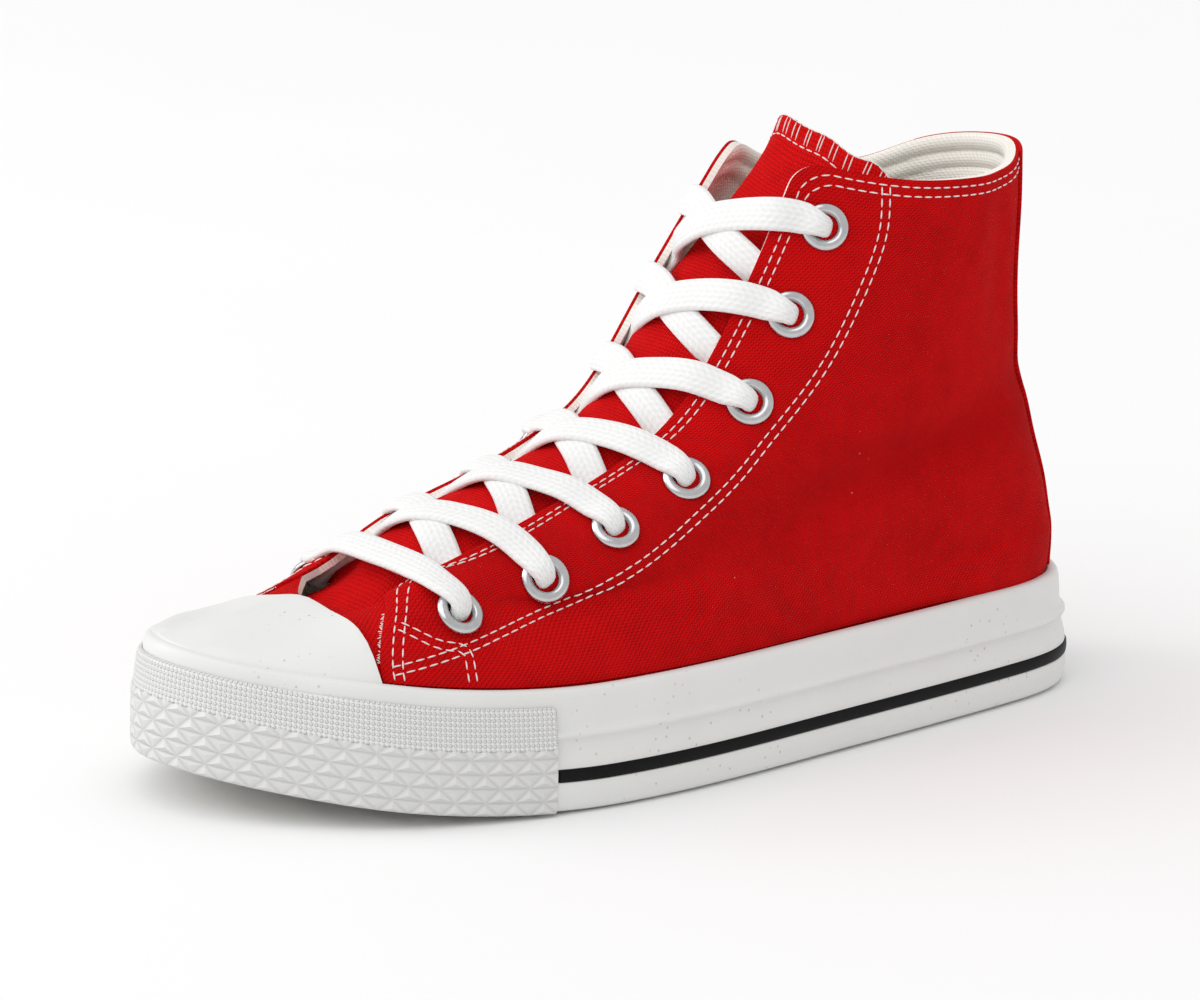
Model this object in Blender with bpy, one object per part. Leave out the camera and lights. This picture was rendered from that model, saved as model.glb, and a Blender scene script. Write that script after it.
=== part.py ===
"""Canvas high-top sneaker, left shoe: sole, side band, upper, tongue, eyelets and laces.

Toe towards -Y, heel towards +Y, lateral side towards +X, floor at Z = 0, metres.
"""
import bmesh
import bpy
import numpy as np

MM = 0.001

# Sizes of the whole shoe
SHOE_LENGTH = 252.0 * MM
BALL_HALF = 49.0 * MM
WAIST_HALF = 43.2 * MM
HEEL_HALF = 32.8 * MM
COLLAR_HEIGHT = 133.0 * MM
FIT = 0.3 * MM

# Toe spring: rise at the tip, where it starts as a share of the length, and its curve
TOE_SPRING = 11.0 * MM
SPRING_START = 0.65
SPRING_POWER = 1.9

# Outsole
OUTSOLE_THICKNESS = 8.3 * MM
OUTSOLE_INSET = 3.6 * MM
ARCH_RISE = 1.2 * MM
ARCH_START = 0.29
ARCH_END = 0.52
LUG_DEPTH = 1.3 * MM
LUG_GAP = 2.6 * MM
LUG_PITCH = 11.0 * MM
LUG_WALL = 0.05 * MM
ARCH_MARGIN = 0.02
ARCH_EASE = 1.5
OUTSOLE_END = 0.4 * MM
HEEL_PAD = (0.08, 0.22)
FOREFOOT_PAD = (0.54, 0.62)

# Side band around the sole
BAND_HEIGHT = 28.4 * MM
BAND_TOE_DROP = 1.5 * MM
BAND_TOE_START = 0.84
BAND_INNER_LOW = 2.5 * MM
BAND_INNER_TOP = 4.35 * MM
STRIPE_MIDDLE = 9.1 * MM
STRIPE_GROOVE = 2.7 * MM
STRIPE_DEPTH = 1.4 * MM
STRIPE_FACE = 0.5 * MM
STRIPE_MARGIN = 0.002
BAND_LEDGE = 18.0 * MM
BAND_ROUND = 0.2 * MM
BAND_SEAT_EDGE = 1.0 * MM

# Toe bumper
BUMPER_END = 0.706
BUMPER_STEP = 0.0006
BUMPER_HEIGHT = 24.8 * MM
BUMPER_PROUD = 0.5 * MM
BUMPER_SINK = 1.2 * MM

# Upper
UPPER_WALL = 1.6 * MM
QUARTER_STEP = 0.7 * MM
FEATHER_HEIGHT = OUTSOLE_THICKNESS + FIT
FEATHER_INSET = 5.0 * MM
CANVAS_INSET = 6.3 * MM
MEDIAL_FADE = 75.0 * MM
HEEL_ROUND = 0.72

# Pieces on the upper
CAP_THICKNESS = 1.7 * MM
CAP_FIT = 1.9 * FIT
CAP_REAR = 0.851
CAP_LIFT = 0.95
STRIP_HALF = 7.3 * MM
STRIP_THICKNESS = 0.8 * MM
STRIP_LIFT = 0.25
STRIP_FIRST_ROW = 1
STRIP_COLUMNS = 5
INSOLE_THICKNESS = 4.0 * MM
INSOLE_INSET = 8.1 * MM
INSOLE_STATIONS = 33
TONGUE_THICKNESS = 1.8 * MM
TONGUE_CROWN = 3.0 * MM
TONGUE_DROP = 2.5 * MM
TONGUE_TUCK = 8.0 * MM
TONGUE_ABOVE = 10.0 * MM
TONGUE_WING = 12.0 * MM
TONGUE_DIP = 3.6 * MM
TONGUE_DIP_END = 24.0 * MM
TONGUE_SHOULDER = 0.30
TONGUE_EDGE_SHARE = 0.94
TONGUE_NEAR_SHARE = 0.50
TONGUE_NEAR_RISE = 0.80
TONGUE_LEAN = (3.5 * MM, 9.0 * MM, -1.0 * MM)
TONGUE_FALL = 3.2 * MM
TONGUE_FALL_WIDTH = 9.0 * MM
TONGUE_LEAN_START = 105.0 * MM
TONGUE_LEAN_END = 158.0 * MM
TONGUE_ROWS = 12
TONGUE_STEPS = (1, 1, 1, 2, 2, 1, 1, 1)

# Eyelets
EYELET_PAIRS = 7
EYELET_RADIUS = 5.15 * MM
EYELET_HOLE = 2.6 * MM
EYELET_FLANGE = 1.2 * MM
EYELET_BARREL = 3.0 * MM
EYELET_SEAT = 3.5 * MM
EYELET_SIDES = 8
EYELET_BACK = 0.4 * MM
DRILL_REACH = 1.0 * MM
EYELET_FIRST = 12.6 * MM
EYELET_LAST = 12.0 * MM
EYELET_IN_LOW = 15.6 * MM
EYELET_IN_TOP = 11.8 * MM

# Laces
LACE_WIDTH = 8.2 * MM
LACE_THICKNESS = 1.7 * MM
LACE_RISE = 1.2 * MM
LACE_CROSSING = 1.1 * MM
LACE_EDGE_GAP = 3.2 * MM
LACE_START = 6.5 * MM
LACE_STATIONS = 9
LACE_EDGE_IN = 1.5 * MM
LACE_NEAR_PLACE = 0.28
LACE_NEAR_WIDTH = 0.45
BAR_RISE = 2.0 * MM

# Mesh steps
OUTLINE_STEPS = 62
COLUMN_STEPS = (2, 2, 3, 3, 3, 3, 2, 2, 3)
LEVEL_STEPS = (1, 2, 2, 2, 2, 2, 2, 2, 2, 2, 1)
VAMP_COLUMNS = 3
FINE_COLUMNS = (2, 2, 2, 10, 10, 6, 4, 3, 6)
FINE_LEVELS = (1, 2, 6, 8, 8, 10, 10, 8, 8, 8, 8)
CAP_COLUMN_STEPS = (3, 3, 3, 1, 1, 1, 1, 1, 1)
CAP_LEVEL_STEPS = (1, 3, 2, 2, 1, 1, 1, 1, 1, 1, 1)

# Outline of the sole, down the lateral side and back up the medial side
#    place   width   named
#    share   share   width
OUTLINE_ROWS = (
    (0.000, 0.00, HEEL_HALF),
    (0.042, 0.72, HEEL_HALF),
    (0.136, 0.99, HEEL_HALF),
    (0.394, 1.00, WAIST_HALF),
    (0.680, 1.00, BALL_HALF),
    (0.766, 0.92, BALL_HALF),
    (0.849, 0.77, BALL_HALF),
    (0.924, 0.49, BALL_HALF),
    (0.978, 0.19, BALL_HALF),
    (1.000, -0.14, BALL_HALF),
    (0.979, -0.43, BALL_HALF),
    (0.924, -0.70, BALL_HALF),
    (0.841, -0.915, BALL_HALF),
    (0.730, -1.00, BALL_HALF),
    (0.438, -0.94, WAIST_HALF),
    (0.136, -0.99, HEEL_HALF),
    (0.042, -0.72, HEEL_HALF),
)

# Levels of the quarters above the band: places as shares of the length from the heel,
# heights as shares of the collar height, widths as shares of the ball half width
#    front   front   front   back    back    first   second  third   fourth  middle
#    width   place   height  place   height  width   width   width   width   dip
QUARTER_ROWS = (
    (0.551, 0.8464, 0.287, 0.0313, 0.293, 0.735, 0.827, 0.761, 0.620, 0.000),
    (0.473, 0.8369, 0.340, 0.0361, 0.331, 0.610, 0.786, 0.747, 0.620, 0.000),
    (0.351, 0.8115, 0.352, 0.0416, 0.376, 0.600, 0.751, 0.731, 0.616, 0.000),
    (0.347, 0.7440, 0.398, 0.0560, 0.455, 0.602, 0.714, 0.710, 0.612, 0.000),
    (0.347, 0.6250, 0.474, 0.0680, 0.534, 0.571, 0.690, 0.694, 0.600, 0.000),
    (0.347, 0.5179, 0.571, 0.0785, 0.620, 0.555, 0.663, 0.678, 0.584, 0.000),
    (0.347, 0.4643, 0.677, 0.0850, 0.714, 0.531, 0.645, 0.661, 0.567, 0.000),
    (0.347, 0.4246, 0.789, 0.0853, 0.812, 0.506, 0.624, 0.645, 0.555, 0.000),
    (0.347, 0.3908, 0.902, 0.0836, 0.902, 0.476, 0.608, 0.633, 0.545, -0.008),
    (0.347, 0.3651, 1.000, 0.0850, 0.981, 0.465, 0.598, 0.629, 0.541, -0.030),
)
SIDE_PLACES = (0.14, 0.32, 0.54, 0.78)
MEDIAL_SHARES = (0.92, 0.96, 0.92, 0.98)
# Rise of the collar over those rows: front edge, side places, heel corner and heel
LATERAL_RISE = (3.3 * MM, 3.0 * MM, 3.0 * MM, 3.2 * MM, 3.3 * MM, 3.4 * MM, 3.4 * MM)
MEDIAL_RISE = (0.5 * MM, 2.5 * MM, 0.0, -3.0 * MM, -2.8 * MM, -0.6 * MM, 3.0 * MM)
RISE_START = 75.0 * MM
# Sink of the medial side beside the throat front
MEDIAL_SINK = 4.0 * MM
MEDIAL_SINK_HEIGHT = 52.0 * MM
MEDIAL_SINK_REACH = 17.0 * MM
# Shift of the medial throat edge along the shoe: height, shift
MEDIAL_SLANT = (
    (75.0 * MM, 0.0),
    (98.0 * MM, -2.5 * MM),
    (116.0 * MM, 0.0),
    (133.0 * MM, 4.0 * MM),
)

# Levels of the vamp, from the band line to the front of the throat
#    plan    centre  lateral  lateral  medial  medial
#    share   height  corner   side     corner  side
VAMP_ROWS = (
    (0.28, 0.297, 0.299, 0.288, 0.256, 0.252),
    (0.62, 0.317, 0.313, 0.308, 0.298, 0.281),
    (1.00, 0.328, 0.325, 0.320, 0.319, 0.310),
)
# Heights of the medial quarter's front edge on the same levels
MEDIAL_EDGE_HEIGHTS = (0.252, 0.276, 0.332)
MEDIAL_EDGE_REACH = 0.55
# Front edge of the quarters on the first two levels, as shares of the canvas there
EDGE_SHARES = (0.93, 0.80)
# Places of the corner and side columns on the band line
VAMP_BAND_PLACES = (0.957, 0.916)
# Front of the throat: share of the ball half width, share of the length
THROAT_FRONT = ((0.000, 0.839), (0.150, 0.837), (0.270, 0.829))

# Side band's outer face: inset, height above the sole's bottom line
BAND_PROFILE = (
    (1.5 * MM, 0.8 * MM),
    (0.3 * MM, 2.2 * MM),
    (0.0 * MM, STRIPE_MIDDLE - 0.5 * STRIPE_GROOVE),
    (STRIPE_DEPTH, STRIPE_MIDDLE - 0.5 * STRIPE_GROOVE),
    (STRIPE_DEPTH, STRIPE_MIDDLE + 0.5 * STRIPE_GROOVE),
    (0.6 * MM, STRIPE_MIDDLE + 0.5 * STRIPE_GROOVE),
    (1.0 * MM, 17.8 * MM),
    (1.8 * MM, 19.0 * MM),
    (2.7 * MM, 27.2 * MM),
    (3.7 * MM, BAND_HEIGHT),
)

# Bumper's outer face: amount behind the proud face, share of the bumper height
BUMPER_PROFILE = (
    (0.7 * MM, 0.02),
    (0.0 * MM, 0.09),
    (0.1 * MM, 0.60),
    (0.8 * MM, 0.68),
    (1.5 * MM, 0.96),
    (2.0 * MM, 1.00),
)

# Colours and finishes: red, green, blue, roughness, metallic
FINISHES = {
    "canvas": (0.50, 0.006, 0.008, 0.85, 0.0),
    "tongue_canvas": (0.56, 0.010, 0.010, 0.88, 0.0),
    "white_rubber": (0.80, 0.80, 0.77, 0.45, 0.0),
    "black_rubber": (0.01, 0.01, 0.011, 0.50, 0.0),
    "cream_cloth": (0.72, 0.66, 0.55, 0.90, 0.0),
    "white_cotton": (0.82, 0.82, 0.80, 0.85, 0.0),
    "silver_metal": (0.75, 0.75, 0.76, 0.30, 1.0),
}


def spline(knots, values, at, closed=False):
    """Natural or closed cubic curve through the rows of values."""
    knots = np.asarray(knots, float)
    values = np.asarray(values, float)
    at = np.asarray(at, float)
    if closed:
        period = knots[-1] - knots[0]
        reach = 4
        before = knots[-1 - reach:-1] - period
        after = knots[1:1 + reach] + period
        knots = np.concatenate([before, knots, after])
        values = np.concatenate([values[-1 - reach:-1], values, values[1:1 + reach]])
    count = len(knots)
    gap = np.diff(knots)
    matrix = np.zeros((count, count))
    right = np.zeros((count,) + values.shape[1:])
    matrix[0, 0] = 1.0
    matrix[-1, -1] = 1.0
    for i in range(1, count - 1):
        matrix[i, i - 1] = gap[i - 1]
        matrix[i, i] = 2.0 * (gap[i - 1] + gap[i])
        matrix[i, i + 1] = gap[i]
        rise_after = (values[i + 1] - values[i]) / gap[i]
        rise_before = (values[i] - values[i - 1]) / gap[i - 1]
        right[i] = 6.0 * (rise_after - rise_before)
    bend = np.linalg.solve(matrix, right.reshape(count, -1)).reshape(right.shape)
    place = np.clip(np.searchsorted(knots, at, side="right") - 1, 0, count - 2)
    shape = (-1,) + (1,) * (values.ndim - 1)
    span = gap[place].reshape(shape)
    left = ((knots[place + 1] - at) / gap[place]).reshape(shape)
    rest = ((at - knots[place]) / gap[place]).reshape(shape)
    straight = left * values[place] + rest * values[place + 1]
    curve = (left ** 3 - left) * bend[place] + (rest ** 3 - rest) * bend[place + 1]
    return straight + curve * span * span / 6.0


def chord_knots(points):
    """Running length along a row of points."""
    steps = np.linalg.norm(np.diff(points, axis=0), axis=1)
    return np.concatenate([[0.0], np.cumsum(steps)])


def spread(knots, steps):
    """Places between the knots, with the given number of steps in each span."""
    at = [knots[0]]
    for i, count in enumerate(steps):
        at.extend(np.linspace(knots[i], knots[i + 1], count + 1)[1:])
    return np.array(at)


def smooth_step(value):
    """Soft change from 0 to 1."""
    value = np.clip(value, 0.0, 1.0)
    return value * value * (3.0 - 2.0 * value)


def length_place(share):
    """Y of a share of the shoe's length counted from the heel."""
    return SHOE_LENGTH * (0.5 - share)


def length_share(y):
    """Share of the shoe's length, counted from the heel, of a Y."""
    return 0.5 - np.asarray(y) / SHOE_LENGTH


def spring(y):
    """Height of the sole's bottom line above the floor."""
    lift = (length_share(y) - SPRING_START) / (1.0 - SPRING_START)
    return TOE_SPRING * np.clip(lift, 0.0, 1.0) ** SPRING_POWER


def band_height(y):
    """Height of the side band above the sole's bottom line."""
    near_toe = smooth_step((length_share(y) - BAND_TOE_START) / (1.0 - BAND_TOE_START))
    return BAND_HEIGHT - BAND_TOE_DROP * near_toe


def band_top(y):
    """Height of the side band's top edge above the floor."""
    return spring(y) + band_height(y)


def outline_loop(inset=0.0, count=720):
    """Closed outline of the sole, heel first, down the lateral side."""
    rows = [(share * width, length_place(place)) for place, share, width in OUTLINE_ROWS]
    loop = np.array(rows + rows[:1])
    knots = chord_knots(loop)
    at = np.linspace(0.0, knots[-1], count, endpoint=False)
    points = spline(knots, loop, at, closed=True)
    ahead = np.roll(points, -1, axis=0) - np.roll(points, 1, axis=0)
    ahead /= np.linalg.norm(ahead, axis=1)[:, None]
    outward = np.stack([-ahead[:, 1], ahead[:, 0]], axis=1)
    return points - outward * inset


def outline_half(y, side, inset=0.0):
    """X of the outline at y, side +1 lateral or -1 medial."""
    points = outline_loop(inset)
    tip = int(np.argmin(points[:, 1]))
    if side > 0:
        half = points[:tip + 1]
    else:
        half = np.concatenate([points[:1], points[:tip - 1:-1]])
    return np.interp(-np.asarray(y), -half[:, 1], half[:, 0])


def band_level(side, inset, height):
    """Control points of a level along the outline: vamp columns, then quarter columns."""
    loop = outline_loop(inset)
    tip = loop[int(np.argmin(loop[:, 1]))]
    front = length_place(QUARTER_ROWS[0][1])
    back = float(loop[0, 1])
    heel = abs(float(outline_half(back - 0.5 * HEEL_HALF, side, inset)))
    ys = [length_place(place) for place in VAMP_BAND_PLACES]
    ys.append(front)
    ys.extend(front + (back - front) * share for share in SIDE_PLACES)
    ys.append(back - (1.0 - HEEL_ROUND) * heel)
    plan = [(tip[0], tip[1])]
    plan.extend((float(outline_half(y, side, inset)), y) for y in ys)
    plan.append((loop[0, 0], back))
    return np.array([(x, y, float(height(y))) for x, y in plan])


def quarter_points(row, side):
    """Control points of one quarter level, from its front edge to the heel."""
    edge_width, edge_place, edge_height, back_place, back_height = row[:5]
    widths = row[5:9]
    dip = row[9]
    front = length_place(edge_place)
    back = length_place(back_place)
    low = edge_height * COLLAR_HEIGHT
    high = back_height * COLLAR_HEIGHT
    fade = smooth_step(0.5 * (low + high) / MEDIAL_FADE)
    points = [(side * edge_width * BALL_HALF, front, low)]
    for share, width, medial in zip(SIDE_PLACES, widths, MEDIAL_SHARES):
        narrow = 1.0 if side > 0 else medial + (1.0 - medial) * fade
        bow = 4.0 * share * (1.0 - share)
        x = side * width * narrow * BALL_HALF
        y = front + (back - front) * share
        z = low + (high - low) * share + dip * bow * COLLAR_HEIGHT
        points.append((x, y, z))
    heel = widths[-1] * BALL_HALF
    points.append((side * HEEL_ROUND * heel, back - (1.0 - HEEL_ROUND) * heel, high))
    points.append((0.0, back, high))
    points = np.array(points)
    if side < 0:
        heights, shifts = zip(*MEDIAL_SLANT)
        points[:2, 1] += np.array([1.0, 0.5]) * np.interp(points[:2, 2], heights, shifts)
        away = abs(points[1, 2] - MEDIAL_SINK_HEIGHT) / MEDIAL_SINK_REACH
        points[1, 2] -= MEDIAL_SINK * (1.0 - smooth_step(away))
    share = smooth_step((points[:, 2] - RISE_START) / (COLLAR_HEIGHT - RISE_START))
    points[:, 2] += share * np.array(LATERAL_RISE if side > 0 else MEDIAL_RISE)
    return points


def vamp_points(row, band, side):
    """Control points of one vamp level, between the band line and the throat front."""
    share = row[0]
    points = []
    heights = (row[1], row[2], row[3]) if side > 0 else (row[1], row[4], row[5])
    for column, height in enumerate(heights):
        width, place = THROAT_FRONT[column]
        goal = np.array([side * width * BALL_HALF, length_place(place)])
        plan = band[column, :2] + (goal - band[column, :2]) * share
        points.append((plan[0], plan[1], height * COLLAR_HEIGHT))
    return np.array(points)


def feather_line(y):
    """Height of the upper's hidden lower edge."""
    return spring(y) + FEATHER_HEIGHT


def side_net(side):
    """Control levels of one side: closed over the toe, then open at the throat."""
    feather = band_level(side, FEATHER_INSET, feather_line)
    band = band_level(side, CANVAS_INSET, band_top)
    closed = [feather, band]
    for level, (vamp_row, quarter_row) in enumerate(zip(VAMP_ROWS, QUARTER_ROWS)):
        vamp = vamp_points(vamp_row, band, side)
        quarter = quarter_points(quarter_row, side)
        if level < len(EDGE_SHARES):
            quarter[0, 0] = band[VAMP_COLUMNS, 0] * EDGE_SHARES[level]
        if side < 0:
            drop = quarter_row[2] - MEDIAL_EDGE_HEIGHTS[level]
            quarter[0, 2] -= drop * COLLAR_HEIGHT
            quarter[1, 2] -= drop * COLLAR_HEIGHT * MEDIAL_EDGE_REACH
        closed.append(np.concatenate([vamp, quarter]))
    opened = [quarter_points(row, side) for row in QUARTER_ROWS[len(VAMP_ROWS):]]
    return closed, opened


def full_level(lateral, medial, steps, closed):
    """Fine points of a level round both sides."""
    loop = np.concatenate([lateral, medial[::-1][1:]])
    knots = chord_knots(loop)
    return spline(knots, loop, spread(knots, steps + steps[::-1]), closed=closed)


def upper_surface(column_steps, level_steps):
    """Outer surface of the upper: rows closed over the toe, rows open at the throat,
    and the column at which the quarters start."""
    closed_l, opened_l = side_net(1.0)
    closed_m, opened_m = side_net(-1.0)
    quarter_steps = column_steps[VAMP_COLUMNS:]
    edge = int(sum(column_steps[:VAMP_COLUMNS]))
    closed = np.array([full_level(a, b, column_steps, True)
                       for a, b in zip(closed_l, closed_m)])
    opened = np.array([full_level(a, b, quarter_steps, False)
                       for a, b in zip(opened_l, opened_m)])
    last = closed.shape[1] - edge
    tall = np.concatenate([closed[:, edge:last], opened])
    rise = np.linalg.norm(np.diff(tall, axis=0), axis=2).mean(axis=1)
    knots = np.concatenate([[0.0], np.cumsum(rise)])
    at = spread(knots, level_steps)
    tall_fine = spline(knots, tall, at)
    count = len(closed)
    low_rows = int(sum(level_steps[:count - 1])) + 1
    low_fine = spline(knots[:count], closed, at[:low_rows])
    low_fine[:, edge:last] = tall_fine[:low_rows]
    return low_fine, tall_fine[low_rows - 1:], edge


def surface_normals(vertices, faces):
    """Vertex normals of a quad surface, by area."""
    corners = vertices[faces]
    across = corners[:, 2] - corners[:, 0]
    along = corners[:, 3] - corners[:, 1]
    weight = np.cross(across, along)
    normals = np.zeros_like(vertices)
    for corner in range(faces.shape[1]):
        np.add.at(normals, faces[:, corner], weight)
    return normals / np.linalg.norm(normals, axis=1)[:, None]


def make_material(name):
    """Principled material with a finish from the list."""
    red, green, blue, roughness, metallic = FINISHES[name]
    material = bpy.data.materials.get(name) or bpy.data.materials.new(name)
    material.use_nodes = True
    shader = material.node_tree.nodes["Principled BSDF"]
    shader.inputs["Base Color"].default_value = (red, green, blue, 1.0)
    shader.inputs["Roughness"].default_value = roughness
    shader.inputs["Metallic"].default_value = metallic
    return material


def add_piece(name, vertices, faces, finish):
    """One named solid from its points and faces."""
    mesh = bpy.data.meshes.new(name)
    mesh.from_pydata([tuple(map(float, point)) for point in vertices], [], faces)
    mesh.materials.append(make_material(finish))
    piece = bpy.data.objects.new(name, mesh)
    bpy.context.scene.collection.objects.link(piece)
    shape = bmesh.new()
    shape.from_mesh(mesh)
    bmesh.ops.recalc_face_normals(shape, faces=shape.faces)
    shape.to_mesh(mesh)
    shape.free()
    return piece


def combine(piece, tool, operation):
    """Cut or join two solids and drop the tool."""
    change = piece.modifiers.new(operation.lower(), "BOOLEAN")
    change.operation = operation
    change.solver = "EXACT"
    change.object = tool
    graph = bpy.context.evaluated_depsgraph_get()
    done = bpy.data.meshes.new_from_object(piece.evaluated_get(graph))
    piece.modifiers.clear()
    piece.data = done
    bpy.data.objects.remove(tool)
    return piece


def grid_faces(rows, columns, wrap_rows=False, wrap_columns=False):
    """Quads of a grid of points numbered row by row."""
    faces = []
    for row in range(rows if wrap_rows else rows - 1):
        for column in range(columns if wrap_columns else columns - 1):
            here = row * columns + column
            beside = row * columns + (column + 1) % columns
            above = ((row + 1) % rows) * columns + column
            corner = ((row + 1) % rows) * columns + (column + 1) % columns
            faces.append((here, beside, corner, above))
    return faces


def shell_piece(name, surface, inner, outer, finish):
    """Closed solid between two offsets of an open grid of points."""
    rows, columns = surface.shape[:2]
    base = surface.reshape(-1, 3)
    quads = np.array(grid_faces(rows, columns))
    normals = surface_normals(base, quads)
    count = len(base)
    vertices = np.concatenate([base + normals * outer, base + normals * inner])
    faces = [tuple(quad) for quad in quads]
    faces += [tuple(count + corner for corner in quad[::-1]) for quad in quads]
    rim = [column for column in range(columns)]
    rim += [row * columns + columns - 1 for row in range(1, rows)]
    rim += [(rows - 1) * columns + column for column in range(columns - 2, -1, -1)]
    rim += [row * columns for row in range(rows - 2, 0, -1)]
    for here, beside in zip(rim, rim[1:] + rim[:1]):
        faces.append((beside, here, count + here, count + beside))
    return add_piece(name, vertices, faces, finish)


def ring_piece(name, sections, finish, closed=True):
    """Solid swept through profiles: an array of sections, points, coordinates."""
    count, size = sections.shape[:2]
    faces = grid_faces(count, size, wrap_rows=closed, wrap_columns=True)
    if not closed:
        faces.append(tuple(range(size)))
        faces.append(tuple((count - 1) * size + corner for corner in range(size))[::-1])
    return add_piece(name, sections.reshape(-1, 3), faces, finish)


def upper_mesh():
    """Vertices and faces of the hollow upper, with a step where the quarters start."""
    low, high, edge = upper_surface(COLUMN_STEPS, LEVEL_STEPS)
    low = low[:, :-1]
    rows, columns = low.shape[:2]
    last = columns - edge
    width = high.shape[1]
    base = np.concatenate([low.reshape(-1, 3), high[1:].reshape(-1, 3)])
    low_count = rows * columns

    def high_index(row, column):
        if row == 0:
            return (rows - 1) * columns + edge + column
        return low_count + (row - 1) * width + column

    faces = []
    kinds = []
    for row in range(rows - 1):
        for column in range(columns):
            beside = (column + 1) % columns
            faces.append((row * columns + column, row * columns + beside,
                          (row + 1) * columns + beside, (row + 1) * columns + column))
            kinds.append(edge <= column < last)
    for row in range(high.shape[0] - 1):
        for column in range(width - 1):
            faces.append((high_index(row, column), high_index(row, column + 1),
                          high_index(row + 1, column + 1), high_index(row + 1, column)))
            kinds.append(True)
    faces = np.array(faces)
    kinds = np.array(kinds)
    normals = surface_normals(base, faces)
    count = len(base)
    raised = base + normals * QUARTER_STEP
    inner = base - normals * UPPER_WALL
    vertices = np.concatenate([base, raised, inner])
    doubled = set(row * columns + edge for row in range(rows))
    doubled |= set(row * columns + last for row in range(rows))
    solid = []
    for quad, quarter in zip(faces, kinds):
        shift = count if quarter else 0
        solid.append(tuple(int(corner) + shift for corner in quad))
        solid.append(tuple(int(corner) + 2 * count for corner in quad[::-1]))
    for row in range(rows - 1):
        for column, turned in ((edge, False), (last, True)):
            here = row * columns + column
            above = here + columns
            step = (here, here + count, above + count, above)
            solid.append(step[::-1] if turned else step)
    half_edges = {}
    for quad, quarter in zip(faces, kinds):
        for start, end in zip(quad, np.roll(quad, -1)):
            half_edges[(int(start), int(end))] = bool(quarter)
    for (start, end), quarter in half_edges.items():
        if (end, start) in half_edges:
            continue
        shift = count if quarter else 0
        a_top, b_top = start + shift, end + shift
        a_low, b_low = start + 2 * count, end + 2 * count
        if quarter and start in doubled:
            solid += [(b_top, a_top, start), (b_top, start, a_low), (b_top, a_low, b_low)]
        elif quarter and end in doubled:
            solid += [(a_top, a_low, b_low), (a_top, b_low, end), (a_top, end, b_top)]
        else:
            solid.append((b_top, a_top, a_low, b_low))
    used = sorted(set(corner for face in solid for corner in face))
    renumber = {old: new for new, old in enumerate(used)}
    solid = [tuple(renumber[corner] for corner in face) for face in solid]
    return vertices[used], solid


def fine_quarters():
    """Dense surface of the quarters from the throat front up, with its normals."""
    low, high, edge = upper_surface(FINE_COLUMNS, FINE_LEVELS)
    side = low[:, edge:low.shape[1] - edge]
    surface = np.concatenate([side[:-1], high])
    rows, columns = surface.shape[:2]
    quads = np.array(grid_faces(rows, columns))
    normals = surface_normals(surface.reshape(-1, 3), quads).reshape(surface.shape)
    return surface, normals, len(side) - 1


QUARTERS, QUARTER_NORMALS, THROAT_ROW = fine_quarters()
THROAT_EDGE = {1: QUARTERS[THROAT_ROW:, 0], -1: QUARTERS[THROAT_ROW:, -1]}
THROAT_LENGTH = chord_knots(THROAT_EDGE[1])[-1]


def throat_frame(along, side):
    """Point of the throat edge at a length from its front corner, and its direction."""
    edge = THROAT_EDGE[side]
    knots = chord_knots(edge)
    reach = 1.0 * MM
    places = np.clip([along - reach, along, along + reach], 0.0, knots[-1])
    back, point, front = spline(knots, edge, places)
    ahead = front - back
    return point, ahead / np.linalg.norm(ahead)


def beside_throat(along, distance, side):
    """Point of the quarter at a distance from the throat edge, and its outward normal."""
    edge, ahead = throat_frame(along, side)
    half = QUARTERS.shape[1] // 2
    block = (slice(None), slice(0, half)) if side > 0 else (slice(None), slice(-half, None))
    points = QUARTERS[block].reshape(-1, 3)
    normals = QUARTER_NORMALS[block].reshape(-1, 3)
    offset = points - edge
    forward = offset @ ahead
    miss = forward ** 2 + (np.linalg.norm(offset, axis=1) - distance) ** 2
    near = np.argsort(miss)[:4]
    weight = 1.0 / (np.sqrt(miss[near]) + 0.1 * MM)
    place = (weight / weight.sum()) @ points[near]
    around = np.exp(-np.sum((points - place) ** 2, axis=1) / EYELET_SEAT ** 2)
    normal = around @ normals
    return place, normal / np.linalg.norm(normal)


def eyelet_place(pair, side):
    """Centre of an eyelet on the quarter's base surface, its normal, and its throat length."""
    share = (pair - 1) / (EYELET_PAIRS - 1)
    along = EYELET_FIRST + (THROAT_LENGTH - EYELET_LAST - EYELET_FIRST) * share
    distance = EYELET_IN_LOW + (EYELET_IN_TOP - EYELET_IN_LOW) * share
    point, normal = beside_throat(along, distance, side)
    return point, normal, along, distance


def turned_piece(name, centre, axis, profile, segments, finish):
    """Ring turned around an axis from a closed profile of radius and height."""
    axis = axis / np.linalg.norm(axis)
    first = np.cross(axis, (0.0, 0.0, 1.0))
    first /= np.linalg.norm(first)
    second = np.cross(axis, first)
    sections = []
    for step in range(segments):
        angle = 2.0 * np.pi * step / segments
        out = first * np.cos(angle) + second * np.sin(angle)
        sections.append([centre + out * radius + axis * height for radius, height in profile])
    return ring_piece(name, np.array(sections), finish)


def make_upper():
    """Hollow canvas upper with the lace holes cut through its wall."""
    vertices, faces = upper_mesh()
    upper = add_piece("upper", vertices, faces, "canvas")
    for side in (1, -1):
        for pair in range(1, EYELET_PAIRS + 1):
            centre, normal = eyelet_place(pair, side)[:2]
            radius = EYELET_BARREL + FIT
            depth = UPPER_WALL + DRILL_REACH
            drill = rod("hole", centre - normal * depth,
                        centre + normal * (QUARTER_STEP + DRILL_REACH), radius, EYELET_SIDES)
            combine(upper, drill, "DIFFERENCE")
    return upper


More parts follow.
